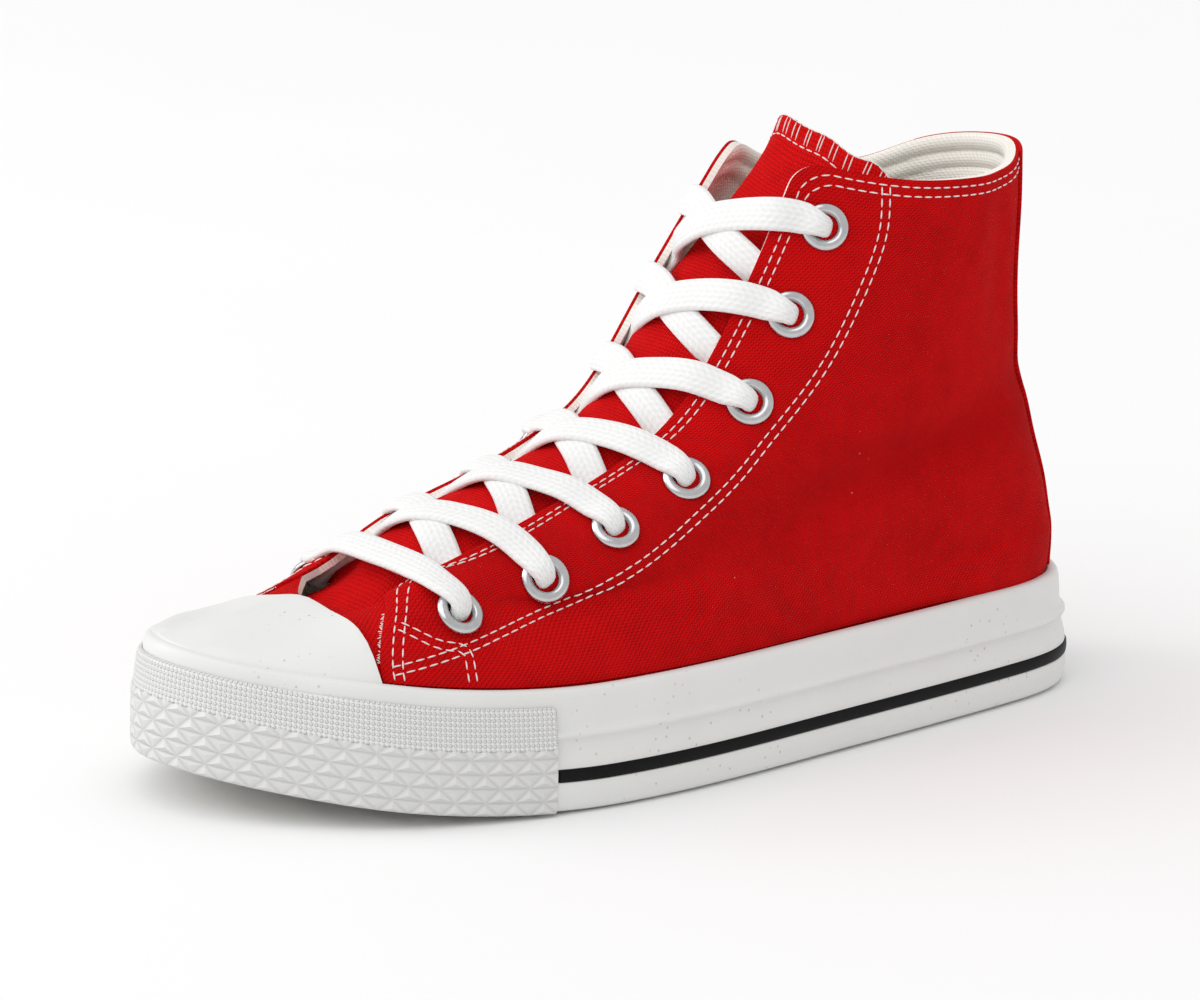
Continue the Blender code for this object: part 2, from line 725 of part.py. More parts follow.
def rod(name, start, end, radius, segments):
    """Plain round rod between two points."""
    axis = (end - start) / np.linalg.norm(end - start)
    first = np.cross(axis, (0.0, 0.0, 1.0))
    first /= np.linalg.norm(first)
    second = np.cross(axis, first)
    angles = 2.0 * np.pi * np.arange(segments) / segments
    ring = np.cos(angles)[:, None] * first + np.sin(angles)[:, None] * second
    sections = np.array([start + ring * radius, end + ring * radius])
    return ring_piece(name, sections, "canvas", closed=False)


def make_eyelets():
    """Fourteen rolled metal rings with barrels through the quarters."""
    top = QUARTER_STEP + 1.6 * FIT
    profile = (
        (EYELET_HOLE, -(UPPER_WALL + EYELET_BACK)),
        (EYELET_HOLE, top + 0.6 * EYELET_FLANGE),
        (0.5 * (EYELET_HOLE + EYELET_RADIUS), top + EYELET_FLANGE),
        (EYELET_RADIUS, top + 0.3 * EYELET_FLANGE),
        (EYELET_BARREL, top),
        (EYELET_BARREL, -(UPPER_WALL + EYELET_BACK)),
    )
    for side, word in ((1, "lateral"), (-1, "medial")):
        for pair in range(1, EYELET_PAIRS + 1):
            centre, normal = eyelet_place(pair, side)[:2]
            name = f"eyelet_{word}_{pair}"
            turned_piece(name, centre, normal, profile, EYELET_SIDES, "silver_metal")


def outline_stations(inset, ys):
    """Lateral and medial x of the inset outline at a list of y."""
    return outline_half(ys, 1, inset), outline_half(ys, -1, inset)


def lug_stations(first, last):
    """Y places of the outsole with pairs at every tread groove, and the groove depth."""
    ys = []
    depths = []
    pads = [(length_place(b), length_place(a)) for a, b in (HEEL_PAD, FOREFOOT_PAD)]
    steps = np.arange(first, last, LUG_PITCH)
    for y in steps:
        ys.append(y)
        depths.append(0.0)
        start = y + 0.5 * (LUG_PITCH - LUG_GAP)
        end = start + LUG_GAP
        share = length_share(0.5 * (start + end))
        on_pad = any(low < 0.5 * (start + end) < high for low, high in pads)
        on_arch = ARCH_START - ARCH_MARGIN < share < ARCH_END
        if end > last or on_pad or on_arch:
            continue
        ys += [start, start + LUG_WALL, end - LUG_WALL, end]
        depths += [0.0, LUG_DEPTH, LUG_DEPTH, 0.0]
    ys.append(last)
    depths.append(0.0)
    return np.array(ys), np.array(depths)


def arch(y):
    """Rise of the outsole's underside at the waist."""
    share = length_share(y)
    middle = 0.5 * (ARCH_START + ARCH_END)
    half = 0.5 * (ARCH_END - ARCH_START)
    return ARCH_RISE * smooth_step(ARCH_EASE * (1.0 - np.abs(share - middle) / half))


def slab_piece(name, inset, ys, low, high, finish):
    """Solid slab within the inset outline between two heights."""
    lateral, medial = outline_stations(inset, ys)
    sections = np.stack([
        np.stack([lateral, ys, low], axis=1),
        np.stack([lateral, ys, high], axis=1),
        np.stack([medial, ys, high], axis=1),
        np.stack([medial, ys, low], axis=1),
    ], axis=1)
    return ring_piece(name, sections, finish, closed=False)


def make_outsole():
    """Tread slab with heel, raised waist, forefoot and cross lugs."""
    loop = outline_loop(OUTSOLE_INSET)
    first = loop[:, 1].min() + OUTSOLE_END
    last = loop[:, 1].max() - OUTSOLE_END
    ys, depths = lug_stations(first, last)
    low = spring(ys) + arch(ys) + depths
    high = spring(ys) + OUTSOLE_THICKNESS
    return slab_piece("outsole", OUTSOLE_INSET, ys, low, high, "white_rubber")


def make_insole():
    """Cushion sheet on the outsole, inside the upper."""
    loop = outline_loop(INSOLE_INSET)
    middle = 0.5 * (loop[:, 1].min() + loop[:, 1].max())
    half = 0.5 * (loop[:, 1].max() - loop[:, 1].min()) - FIT
    turns = np.linspace(-0.5 * np.pi, 0.5 * np.pi, INSOLE_STATIONS)
    ys = middle + half * np.sin(turns)
    low = spring(ys) + FEATHER_HEIGHT
    return slab_piece("insole", INSOLE_INSET, ys, low, low + INSOLE_THICKNESS, "cream_cloth")


def outline_samples(shares):
    """Places and outward directions of the outline at shares of its length from the heel."""
    loop = outline_loop(0.0, 1440)
    ring = np.concatenate([loop, loop[:1]])
    knots = chord_knots(ring)
    at = (np.asarray(shares) % 1.0) * knots[-1]
    ahead = np.roll(loop, -1, axis=0) - np.roll(loop, 1, axis=0)
    outward = np.stack([-ahead[:, 1], ahead[:, 0]], axis=1)
    outward = np.concatenate([outward, outward[:1]])
    points = np.stack([np.interp(at, knots, ring[:, k]) for k in (0, 1)], axis=1)
    turned = np.stack([np.interp(at, knots, outward[:, k]) for k in (0, 1)], axis=1)
    return points, turned / np.linalg.norm(turned, axis=1)[:, None]


def swept_profile(shares, profile):
    """Sections of a profile (inset, height) carried along the outline."""
    points, outward = outline_samples(shares)
    sections = []
    for place, out in zip(points, outward):
        section = []
        for inset, height in profile(place[1]):
            flat = place - out * inset
            section.append((flat[0], flat[1], float(spring(place[1])) + height))
        sections.append(section)
    return np.array(sections)


def bumper_shares():
    """Shares of the outline's length at which the bumper's two ends lie."""
    loop = outline_loop(0.0, 1440)
    ring = np.concatenate([loop, loop[:1]])
    knots = chord_knots(ring) / chord_knots(ring)[-1]
    tip = int(np.argmin(ring[:, 1]))
    y = length_place(BUMPER_END)
    lateral = np.interp(-y, -ring[:tip + 1, 1], knots[:tip + 1])
    medial = np.interp(y, ring[tip:, 1], knots[tip:])
    return lateral, medial


def band_shares(start, end):
    """The side band's own section places between two shares, with both ends."""
    first = int(np.ceil(start * OUTLINE_STEPS + STRIPE_MARGIN))
    last = int(np.floor(end * OUTLINE_STEPS - STRIPE_MARGIN))
    inside = np.arange(first, last + 1) / OUTLINE_STEPS
    return np.concatenate([[start], inside, [end]])


def band_section(y, sunk):
    """Closed profile of the side band at y, sunk a little under the bumper."""
    scale = float(band_height(y)) / BAND_HEIGHT
    section = []
    for inset, height in BAND_PROFILE:
        behind = sunk and height < BAND_LEDGE
        section.append((max(inset, BUMPER_SINK) if behind else inset, height * scale))
    section.append((BAND_INNER_TOP, (BAND_HEIGHT - BAND_ROUND) * scale))
    section.append((BAND_INNER_LOW, BAND_PROFILE[0][1] * scale))
    return section


def make_side_band():
    """White rubber side band with its ledges, the stripe's groove and the bumper's seat."""
    lateral, medial = bumper_shares()
    shares = list(np.arange(OUTLINE_STEPS) / OUTLINE_STEPS)
    sunk_start = lateral - BUMPER_STEP
    sunk_end = medial + BUMPER_STEP
    shares += [sunk_start - BUMPER_STEP, sunk_start, sunk_end, sunk_end + BUMPER_STEP]
    sections = []
    for share in sorted(shares):
        sunk = sunk_start <= share <= sunk_end
        profile = swept_profile([share], lambda y: band_section(y, sunk))
        sections.append(profile[0])
    return ring_piece("side_band", np.array(sections), "white_rubber")


def stripe_section(y):
    """Closed profile of the stripe, clear of its groove."""
    low = STRIPE_MIDDLE - 0.5 * STRIPE_GROOVE + FIT
    high = STRIPE_MIDDLE + 0.5 * STRIPE_GROOVE - FIT
    scale = float(band_height(y)) / BAND_HEIGHT
    deep = STRIPE_DEPTH - FIT
    return ((deep, low * scale), (STRIPE_FACE, low * scale),
            (STRIPE_FACE, high * scale), (deep, high * scale))


def make_stripe():
    """Black stripe in the groove, from one bumper end round the heel to the other."""
    lateral, medial = bumper_shares()
    shares = band_shares(medial - 1.0 + STRIPE_MARGIN, lateral - STRIPE_MARGIN)
    sections = swept_profile(shares, stripe_section)
    return ring_piece("black_stripe", sections, "black_rubber", closed=False)


def bumper_section(y):
    """Closed profile of the toe bumper, lying on the sunk face of the side band."""
    scale = float(band_height(y)) / BAND_HEIGHT
    section = []
    for behind, share in BUMPER_PROFILE:
        section.append((behind - BUMPER_PROUD, share * BUMPER_HEIGHT * scale))
    low = BUMPER_SINK - FIT
    high = BAND_PROFILE[-2][0] - 3.0 * FIT
    section.append((high, BUMPER_HEIGHT * scale))
    section.append((low, (BAND_LEDGE - BAND_SEAT_EDGE) * scale))
    section.append((low, BUMPER_PROFILE[0][1] * BUMPER_HEIGHT * scale))
    return section


def make_bumper():
    """Thicker rubber strip wrapped round the toe."""
    lateral, medial = bumper_shares()
    shares = band_shares(lateral, medial)
    sections = swept_profile(shares, bumper_section)
    return ring_piece("toe_bumper", sections, "white_rubber", closed=False)


def box(name, low, high):
    """Plain box between two corners."""
    corners = [(x, y, z) for z in (low[2], high[2]) for y in (low[1], high[1])
               for x in (low[0], high[0])]
    faces = [(0, 2, 3, 1), (4, 5, 7, 6), (0, 1, 5, 4), (2, 6, 7, 3), (0, 4, 6, 2), (1, 3, 7, 5)]
    return add_piece(name, corners, faces, "white_rubber")


def make_toe_cap():
    """Rubber cap over the vamp, trimmed square behind, resting above the side band."""
    closed, _, edge = upper_surface(CAP_COLUMN_STEPS, CAP_LEVEL_STEPS)
    start = int(CAP_LEVEL_STEPS[0])
    rows = closed[start:]
    lateral = rows[:, :edge + 1]
    medial = rows[:, rows.shape[1] - 1 - edge:-1]
    patch = np.concatenate([medial, lateral], axis=1)
    patch[0] += (patch[1] - patch[0]) * CAP_LIFT
    inner = CAP_FIT
    cap = shell_piece("toe_cap", patch, inner, inner + CAP_THICKNESS, "white_rubber")
    room = SHOE_LENGTH
    trim = box("trim", (-room, -room, -room), (room, length_place(CAP_REAR), room))
    return combine(cap, trim, "INTERSECT")


def make_heel_strip():
    """Narrow canvas strip over the back seam, from the side band to the collar."""
    closed, opened, edge = upper_surface(FINE_COLUMNS, LEVEL_STEPS)
    side = closed[:, edge:closed.shape[1] - edge]
    surface = np.concatenate([side[:-1], opened])[STRIP_FIRST_ROW:]
    middle = surface.shape[1] // 2
    across = np.linspace(-STRIP_HALF, STRIP_HALF, STRIP_COLUMNS)
    patch = []
    for line in surface:
        at = chord_knots(line)[middle] + across
        knots = chord_knots(line)
        patch.append(np.stack([np.interp(at, knots, line[:, k]) for k in range(3)], axis=1))
    patch = np.array(patch)
    patch[0] += (patch[1] - patch[0]) * STRIP_LIFT
    patch[-1] += (patch[-2] - patch[-1]) * STRIP_LIFT
    inner = QUARTER_STEP + FIT
    return shell_piece("heel_strip", patch, inner, inner + STRIP_THICKNESS, "canvas")


def throat_section(along):
    """Middle of the throat, its direction and its upward normal, at a length."""
    lateral, ahead = throat_frame(along, 1)
    medial = throat_frame(along, -1)[0]
    middle = 0.5 * (lateral + medial)
    ahead = np.array([0.0, ahead[1], ahead[2]])
    ahead /= np.linalg.norm(ahead)
    normal = np.array([0.0, -ahead[2], ahead[1]])
    return middle, ahead, normal, 0.5 * abs(lateral[0] - medial[0])


def tongue_crown(along):
    """Height of the tongue's middle over the throat edges."""
    share = smooth_step((along + TONGUE_TUCK) / (TONGUE_DIP_END + TONGUE_TUCK))
    low = TONGUE_DROP + TONGUE_DIP
    return -low + (TONGUE_CROWN + low) * share


def tongue_line(along):
    """Fine points across the tongue's outer face at a length along the throat."""
    clamped = float(np.clip(along, 0.0, THROAT_LENGTH))
    middle, ahead, normal, half = throat_section(clamped)
    crown = tongue_crown(along)
    dip = TONGUE_DIP * (1.0 - smooth_step(along / TONGUE_DIP_END))
    depth = UPPER_WALL + 3.0 * FIT + dip
    drop = TONGUE_DROP + dip
    wings = {}
    for side in (1, -1):
        row = []
        for share in (1.0, 0.5):
            point, out = beside_throat(clamped, TONGUE_WING * share, side)
            row.append(point - out * depth)
        wings[side] = row
    width = np.array([1.0, 0.0, 0.0])
    near_rise = crown * TONGUE_NEAR_RISE - drop * (1.0 - TONGUE_NEAR_RISE)
    to_edge = width * half * TONGUE_EDGE_SHARE
    to_near = width * half * TONGUE_NEAR_SHARE
    edges = [middle + side * to_edge - normal * drop for side in (1, -1)]
    nears = [middle + side * to_near + normal * near_rise for side in (1, -1)]
    top = middle + normal * crown
    inside = [edges[1], nears[1], top, nears[0], edges[0]]
    row = np.array(wings[-1] + inside + wings[1][::-1])
    knots = chord_knots(row)
    fine = spline(knots, row, spread(knots, TONGUE_STEPS))
    beyond = along - clamped
    if beyond > 0.0:
        out = np.clip(np.abs(fine[:, 0]) / np.abs(fine[:, 0]).max(), 0.0, 1.0)
        reach = 1.0 - (1.0 - TONGUE_SHOULDER) * out ** 3
        fine = fine + ahead * beyond * reach[:, None]
    elif beyond < 0.0:
        fine = fine + ahead * beyond
    return fine


def tongue_row(along):
    """Points across the tongue's outer face, leaning back into the shaft at the top."""
    reach = TONGUE_LEAN_END - TONGUE_LEAN_START
    share = smooth_step((along - TONGUE_LEAN_START) / reach)
    row = tongue_line(along) + np.array(TONGUE_LEAN) * share
    row[:, 2] -= TONGUE_FALL * share * smooth_step(0.5 + 0.5 * row[:, 0] / TONGUE_FALL_WIDTH)
    return row


def make_tongue():
    """Canvas tongue under the laces, tucked under the vamp, standing over the collar."""
    places = np.concatenate([
        [-TONGUE_TUCK],
        np.linspace(0.0, THROAT_LENGTH, TONGUE_ROWS),
        THROAT_LENGTH + TONGUE_ABOVE * np.array([0.5, 1.0]),
    ])
    patch = np.array([tongue_row(along) for along in places])
    return shell_piece("tongue", patch, -TONGUE_THICKNESS, 0.0, "tongue_canvas")


def lace_sections(points, normals):
    """Flat six-sided lace sections along a curve."""
    knots = chord_knots(points)
    at = np.linspace(0.0, knots[-1], LACE_STATIONS)
    line = spline(knots, points, at)
    ups = np.stack([np.interp(at, knots, normals[:, k]) for k in range(3)], axis=1)
    ahead = np.gradient(line, axis=0)
    ahead /= np.linalg.norm(ahead, axis=1)[:, None]
    side = np.cross(ahead, ups)
    side /= np.linalg.norm(side, axis=1)[:, None]
    up = np.cross(side, ahead)
    half = 0.5 * LACE_WIDTH
    thick = 0.5 * LACE_THICKNESS
    shape = ((1.0, 0.0), (0.7, 1.0), (-0.7, 1.0), (-1.0, 0.0), (-0.7, -1.0), (0.7, -1.0))
    return np.stack([line + side * (half * a) + up * (thick * b) for a, b in shape], axis=1)


def over_tongue(along, x):
    """Point on the tongue's outer face at a distance from the middle line."""
    row = tongue_line(along)
    return np.array([np.interp(x, row[:, 0], row[:, k]) for k in range(3)])


def lace_end(pair, side, lift):
    """Last point of a lace beside an eyelet, and the normal there."""
    _, _, along, distance = eyelet_place(pair, side)
    clear = EYELET_RADIUS + 2.0 * FIT
    point, normal = beside_throat(along, distance - clear, side)
    return point + normal * (QUARTER_STEP + FIT + lift), normal


def lace_edge(along, side, lift):
    """Point of a lace where it passes over the throat edge."""
    point, normal = beside_throat(along, LACE_EDGE_IN, side)
    normal = normal + throat_section(along)[2]
    normal /= np.linalg.norm(normal)
    return point + normal * (QUARTER_STEP + FIT + lift), normal


def strand(start_pair, end_pair, side, over):
    """Sections of a strand from inside the throat on one side to an eyelet on the other."""
    lift = 0.5 * LACE_THICKNESS + 0.5 * FIT
    along_start = eyelet_place(start_pair, -side)[2] + LACE_START
    along_end = eyelet_place(end_pair, side)[2]
    halfway = 0.5 * (along_start + along_end)
    top = throat_section(halfway)[2]
    first_x = -side * (QUARTER_ROWS[-1][0] * BALL_HALF - LACE_EDGE_GAP)
    rise = LACE_RISE + lift
    base = over_tongue(along_start, first_x)
    start_up = throat_section(along_start)[2]
    along_near = along_start + LACE_NEAR_PLACE * (along_end - along_start)
    near = over_tongue(along_near, LACE_NEAR_WIDTH * first_x)
    crossing = over_tongue(halfway, 0.0)
    extra = LACE_CROSSING * (1.0 if over else 0.0)
    edge, edge_normal = lace_edge(along_end - LACE_EDGE_IN, side, lift + rise)
    end, end_normal = lace_end(end_pair, side, lift)
    points = np.array([base + start_up * rise, near + top * (rise + 0.5 * extra),
                       crossing + top * (rise + extra), edge, end])
    normals = np.array([start_up, top, top, edge_normal, end_normal])
    return lace_sections(points, normals)


def make_lace_bar():
    """Lowest lace, straight across between the first pair of eyelets."""
    lift = 0.5 * LACE_THICKNESS + 0.5 * FIT
    end_l, normal_l = lace_end(1, 1, lift)
    end_m, normal_m = lace_end(1, -1, lift)
    along = eyelet_place(1, 1)[2]
    edge_l, up_l = lace_edge(along, 1, 2.0 * lift)
    edge_m, up_m = lace_edge(along, -1, 2.0 * lift)
    up = throat_section(along)[2]
    top = over_tongue(along, 0.0) + up * (lift + BAR_RISE)
    points = np.array([end_m, edge_m, top, edge_l, end_l])
    normals = np.array([normal_m, up_m, up, up_l, normal_l])
    sections = lace_sections(points, normals)
    return ring_piece("lace_bar", sections, "white_cotton", closed=False)


def make_lace_crossings():
    """Six crossings above the bar, each of two joined strands."""
    for pair in range(2, EYELET_PAIRS + 1):
        over = strand(pair - 1, pair, 1, True)
        under = strand(pair - 1, pair, -1, False)
        name = f"lace_crossing_{pair}"
        first = ring_piece(name, over, "white_cotton", closed=False)
        second = ring_piece("under_strand", under, "white_cotton", closed=False)
        combine(first, second, "UNION")


def main():
    """Build every piece."""
    for item in list(bpy.data.objects):
        bpy.data.objects.remove(item)
    make_outsole()
    make_side_band()
    make_stripe()
    make_bumper()
    make_insole()
    make_upper()
    make_toe_cap()
    make_heel_strip()
    make_tongue()
    make_eyelets()
    make_lace_bar()
    make_lace_crossings()


main()
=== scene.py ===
"""Canvas high-top sneaker, left shoe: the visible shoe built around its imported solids.

Toe towards -Y, heel towards +Y, lateral side towards +X, floor at Z = 0, metres.
"""
import math

import bpy
import numpy as np
from mathutils import Matrix, Vector
from mathutils.bvhtree import BVHTree


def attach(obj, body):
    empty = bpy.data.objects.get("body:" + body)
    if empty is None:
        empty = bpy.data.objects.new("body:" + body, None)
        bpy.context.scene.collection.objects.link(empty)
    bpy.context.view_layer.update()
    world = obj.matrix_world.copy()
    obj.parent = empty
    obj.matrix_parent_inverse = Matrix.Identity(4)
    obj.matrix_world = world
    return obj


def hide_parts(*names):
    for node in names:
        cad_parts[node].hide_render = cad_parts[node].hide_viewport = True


MM = 0.001

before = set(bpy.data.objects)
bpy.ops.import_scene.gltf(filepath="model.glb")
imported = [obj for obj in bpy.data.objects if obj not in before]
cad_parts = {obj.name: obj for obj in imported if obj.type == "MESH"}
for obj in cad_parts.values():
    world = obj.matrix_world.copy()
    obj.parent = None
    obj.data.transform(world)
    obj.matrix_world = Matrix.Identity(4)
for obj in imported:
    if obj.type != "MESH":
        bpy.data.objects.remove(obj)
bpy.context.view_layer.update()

# Sizes of the shoe, as in its solids
SHOE_LENGTH = 252.0 * MM
BALL_HALF = 49.0 * MM
WAIST_HALF = 43.2 * MM
HEEL_HALF = 32.8 * MM
COLLAR_HEIGHT = 133.0 * MM
TOE_SPRING = 11.0 * MM
SPRING_START = 0.65
SPRING_POWER = 1.9
BAND_HEIGHT = 28.4 * MM
BAND_TOE_DROP = 1.5 * MM
BAND_TOE_START = 0.84
BUMPER_END = 0.706
FEATHER_HEIGHT = 8.6 * MM
FEATHER_INSET = 5.0 * MM
CANVAS_INSET = 6.3 * MM
MEDIAL_FADE = 75.0 * MM
HEEL_ROUND = 0.72
CAP_REAR = 0.851
EYELET_PAIRS = 7
EYELET_SEAT = 3.5 * MM
EYELET_FIRST = 12.6 * MM
EYELET_LAST = 12.0 * MM
EYELET_IN_LOW = 15.6 * MM
EYELET_IN_TOP = 11.8 * MM
TONGUE_CROWN = 3.0 * MM
TONGUE_DROP = 2.5 * MM
TONGUE_TUCK = 8.0 * MM
TONGUE_ABOVE = 10.0 * MM
TONGUE_WING = 12.0 * MM
TONGUE_DIP = 3.6 * MM
TONGUE_DIP_END = 24.0 * MM
TONGUE_SHOULDER = 0.30
TONGUE_EDGE_SHARE = 0.94
TONGUE_NEAR_SHARE = 0.50
TONGUE_NEAR_RISE = 0.80
TONGUE_LEAN = (3.5 * MM, 9.0 * MM, -1.0 * MM)
TONGUE_FALL = 3.2 * MM
TONGUE_FALL_WIDTH = 9.0 * MM
TONGUE_LEAN_START = 105.0 * MM
TONGUE_LEAN_END = 158.0 * MM
UPPER_WALL = 1.6 * MM
FIT = 0.3 * MM

# Control columns from the toe's middle to the quarter's front edge
VAMP_COLUMNS = 3

# Outline of the sole, down the lateral side and back up the medial side
#    place   width   named
#    share   share   width
OUTLINE_ROWS = (
    (0.000, 0.00, HEEL_HALF),
    (0.042, 0.72, HEEL_HALF),
    (0.136, 0.99, HEEL_HALF),
    (0.394, 1.00, WAIST_HALF),
    (0.680, 1.00, BALL_HALF),
    (0.766, 0.92, BALL_HALF),
    (0.849, 0.77, BALL_HALF),
    (0.924, 0.49, BALL_HALF),
    (0.978, 0.19, BALL_HALF),
    (1.000, -0.14, BALL_HALF),
    (0.979, -0.43, BALL_HALF),
    (0.924, -0.70, BALL_HALF),
    (0.841, -0.915, BALL_HALF),
    (0.730, -1.00, BALL_HALF),
    (0.438, -0.94, WAIST_HALF),
    (0.136, -0.99, HEEL_HALF),
    (0.042, -0.72, HEEL_HALF),
)

# Levels of the quarters above the band: places as shares of the length from the heel,
# heights as shares of the collar height, widths as shares of the ball half width
#    front   front   front   back    back    first   second  third   fourth  middle
#    width   place   height  place   height  width   width   width   width   dip
QUARTER_ROWS = (
    (0.551, 0.8464, 0.287, 0.0313, 0.293, 0.735, 0.827, 0.761, 0.620, 0.000),
    (0.473, 0.8369, 0.340, 0.0361, 0.331, 0.610, 0.786, 0.747, 0.620, 0.000),
    (0.351, 0.8115, 0.352, 0.0416, 0.376, 0.600, 0.751, 0.731, 0.616, 0.000),
    (0.347, 0.7440, 0.398, 0.0560, 0.455, 0.602, 0.714, 0.710, 0.612, 0.000),
    (0.347, 0.6250, 0.474, 0.0680, 0.534, 0.571, 0.690, 0.694, 0.600, 0.000),
    (0.347, 0.5179, 0.571, 0.0785, 0.620, 0.555, 0.663, 0.678, 0.584, 0.000),
    (0.347, 0.4643, 0.677, 0.0850, 0.714, 0.531, 0.645, 0.661, 0.567, 0.000),
    (0.347, 0.4246, 0.789, 0.0853, 0.812, 0.506, 0.624, 0.645, 0.555, 0.000),
    (0.347, 0.3908, 0.902, 0.0836, 0.902, 0.476, 0.608, 0.633, 0.545, -0.008),
    (0.347, 0.3651, 1.000, 0.0850, 0.981, 0.465, 0.598, 0.629, 0.541, -0.030),
)
SIDE_PLACES = (0.14, 0.32, 0.54, 0.78)
MEDIAL_SHARES = (0.92, 0.96, 0.92, 0.98)
# Rise of the collar over those rows: front edge, side places, heel corner and heel
LATERAL_RISE = (3.3 * MM, 3.0 * MM, 3.0 * MM, 3.2 * MM, 3.3 * MM, 3.4 * MM, 3.4 * MM)
MEDIAL_RISE = (0.5 * MM, 2.5 * MM, 0.0, -3.0 * MM, -2.8 * MM, -0.6 * MM, 3.0 * MM)
RISE_START = 75.0 * MM
# Sink of the medial side beside the throat front
MEDIAL_SINK = 4.0 * MM
MEDIAL_SINK_HEIGHT = 52.0 * MM
MEDIAL_SINK_REACH = 17.0 * MM
# Shift of the medial throat edge along the shoe: height, shift
MEDIAL_SLANT = (
    (75.0 * MM, 0.0),
    (98.0 * MM, -2.5 * MM),
    (116.0 * MM, 0.0),
    (133.0 * MM, 4.0 * MM),
)

# Levels of the vamp, from the band line to the front of the throat
#    plan    centre  lateral  lateral  medial  medial
#    share   height  corner   side     corner  side
VAMP_ROWS = (
    (0.28, 0.297, 0.299, 0.288, 0.256, 0.252),
    (0.62, 0.317, 0.313, 0.308, 0.298, 0.281),
    (1.00, 0.328, 0.325, 0.320, 0.319, 0.310),
)
# Heights of the medial quarter's front edge on the same levels
MEDIAL_EDGE_HEIGHTS = (0.252, 0.276, 0.332)
MEDIAL_EDGE_REACH = 0.55
# Front edge of the quarters on the first two levels, as shares of the canvas there
EDGE_SHARES = (0.93, 0.80)
# Places of the corner and side columns on the band line
VAMP_BAND_PLACES = (0.957, 0.916)
# Front of the throat: share of the ball half width, share of the length
THROAT_FRONT = ((0.000, 0.839), (0.150, 0.837), (0.270, 0.829))

# Points of the sole's outline, where coarse and where fine
OUTLINE_POINTS = 720
OUTLINE_FINE = 1440


def spline(knots, values, at, closed=False):
    """Natural or closed cubic curve through the rows of values."""
    knots = np.asarray(knots, float)
    values = np.asarray(values, float)
    at = np.asarray(at, float)
    if closed:
        period = knots[-1] - knots[0]
        reach = 4
        before = knots[-1 - reach:-1] - period
        after = knots[1:1 + reach] + period
        knots = np.concatenate([before, knots, after])
        values = np.concatenate([values[-1 - reach:-1], values, values[1:1 + reach]])
    count = len(knots)
    gap = np.diff(knots)
    matrix = np.zeros((count, count))
    right = np.zeros((count,) + values.shape[1:])
    matrix[0, 0] = 1.0
    matrix[-1, -1] = 1.0
    for i in range(1, count - 1):
        matrix[i, i - 1] = gap[i - 1]
        matrix[i, i] = 2.0 * (gap[i - 1] + gap[i])
        matrix[i, i + 1] = gap[i]
        rise_after = (values[i + 1] - values[i]) / gap[i]
        rise_before = (values[i] - values[i - 1]) / gap[i - 1]
        right[i] = 6.0 * (rise_after - rise_before)
    bend = np.linalg.solve(matrix, right.reshape(count, -1)).reshape(right.shape)
    place = np.clip(np.searchsorted(knots, at, side="right") - 1, 0, count - 2)
    shape = (-1,) + (1,) * (values.ndim - 1)
    span = gap[place].reshape(shape)
    left = ((knots[place + 1] - at) / gap[place]).reshape(shape)
    rest = ((at - knots[place]) / gap[place]).reshape(shape)
    straight = left * values[place] + rest * values[place + 1]
    curve = (left ** 3 - left) * bend[place] + (rest ** 3 - rest) * bend[place + 1]
    return straight + curve * span * span / 6.0


def chord_knots(points):
    """Running length along a row of points."""
    steps = np.linalg.norm(np.diff(points, axis=0), axis=1)
    return np.concatenate([[0.0], np.cumsum(steps)])


def between(at, knots, rows):
    """Rows at places between the knots, along straight lines."""
    return np.stack([np.interp(at, knots, column) for column in rows.T], axis=-1)


def unit(rows):
    """Rows of vectors brought to length one."""
    return rows / np.linalg.norm(rows, axis=-1, keepdims=True)


def spread(knots, steps):
    """Places between the knots, with the given number of steps in each span."""
    at = [knots[0]]
    for i, count in enumerate(steps):
        at.extend(np.linspace(knots[i], knots[i + 1], count + 1)[1:])
    return np.array(at)


def smooth_step(value):
    """Soft change from 0 to 1."""
    value = np.clip(value, 0.0, 1.0)
    return value * value * (3.0 - 2.0 * value)


def length_place(share):
    """Y of a share of the shoe's length counted from the heel."""
    return SHOE_LENGTH * (0.5 - share)


def length_share(y):
    """Share of the shoe's length, counted from the heel, of a Y."""
    return 0.5 - np.asarray(y) / SHOE_LENGTH


def spring(y):
    """Height of the sole's bottom line above the floor."""
    lift = (length_share(y) - SPRING_START) / (1.0 - SPRING_START)
    return TOE_SPRING * np.clip(lift, 0.0, 1.0) ** SPRING_POWER


def band_height(y):
    """Height of the side band above the sole's bottom line."""
    near_toe = smooth_step((length_share(y) - BAND_TOE_START) / (1.0 - BAND_TOE_START))
    return BAND_HEIGHT - BAND_TOE_DROP * near_toe


def band_top(y):
    """Height of the side band's top edge above the floor."""
    return spring(y) + band_height(y)


def outline_loop(inset=0.0, count=OUTLINE_POINTS):
    """Closed outline of the sole, heel first, down the lateral side."""
    rows = [(share * width, length_place(place)) for place, share, width in OUTLINE_ROWS]
    loop = np.array(rows + rows[:1])
    knots = chord_knots(loop)
    at = np.linspace(0.0, knots[-1], count, endpoint=False)
    points = spline(knots, loop, at, closed=True)
    ahead = unit(np.roll(points, -1, axis=0) - np.roll(points, 1, axis=0))
    outward = np.stack([-ahead[:, 1], ahead[:, 0]], axis=1)
    return points - outward * inset


def outline_half(y, side, inset=0.0):
    """X of the outline at y, side +1 lateral or -1 medial."""
    points = outline_loop(inset)
    tip = int(np.argmin(points[:, 1]))
    if side > 0:
        half = points[:tip + 1]
    else:
        half = np.concatenate([points[:1], points[:tip - 1:-1]])
    return np.interp(-np.asarray(y), -half[:, 1], half[:, 0])


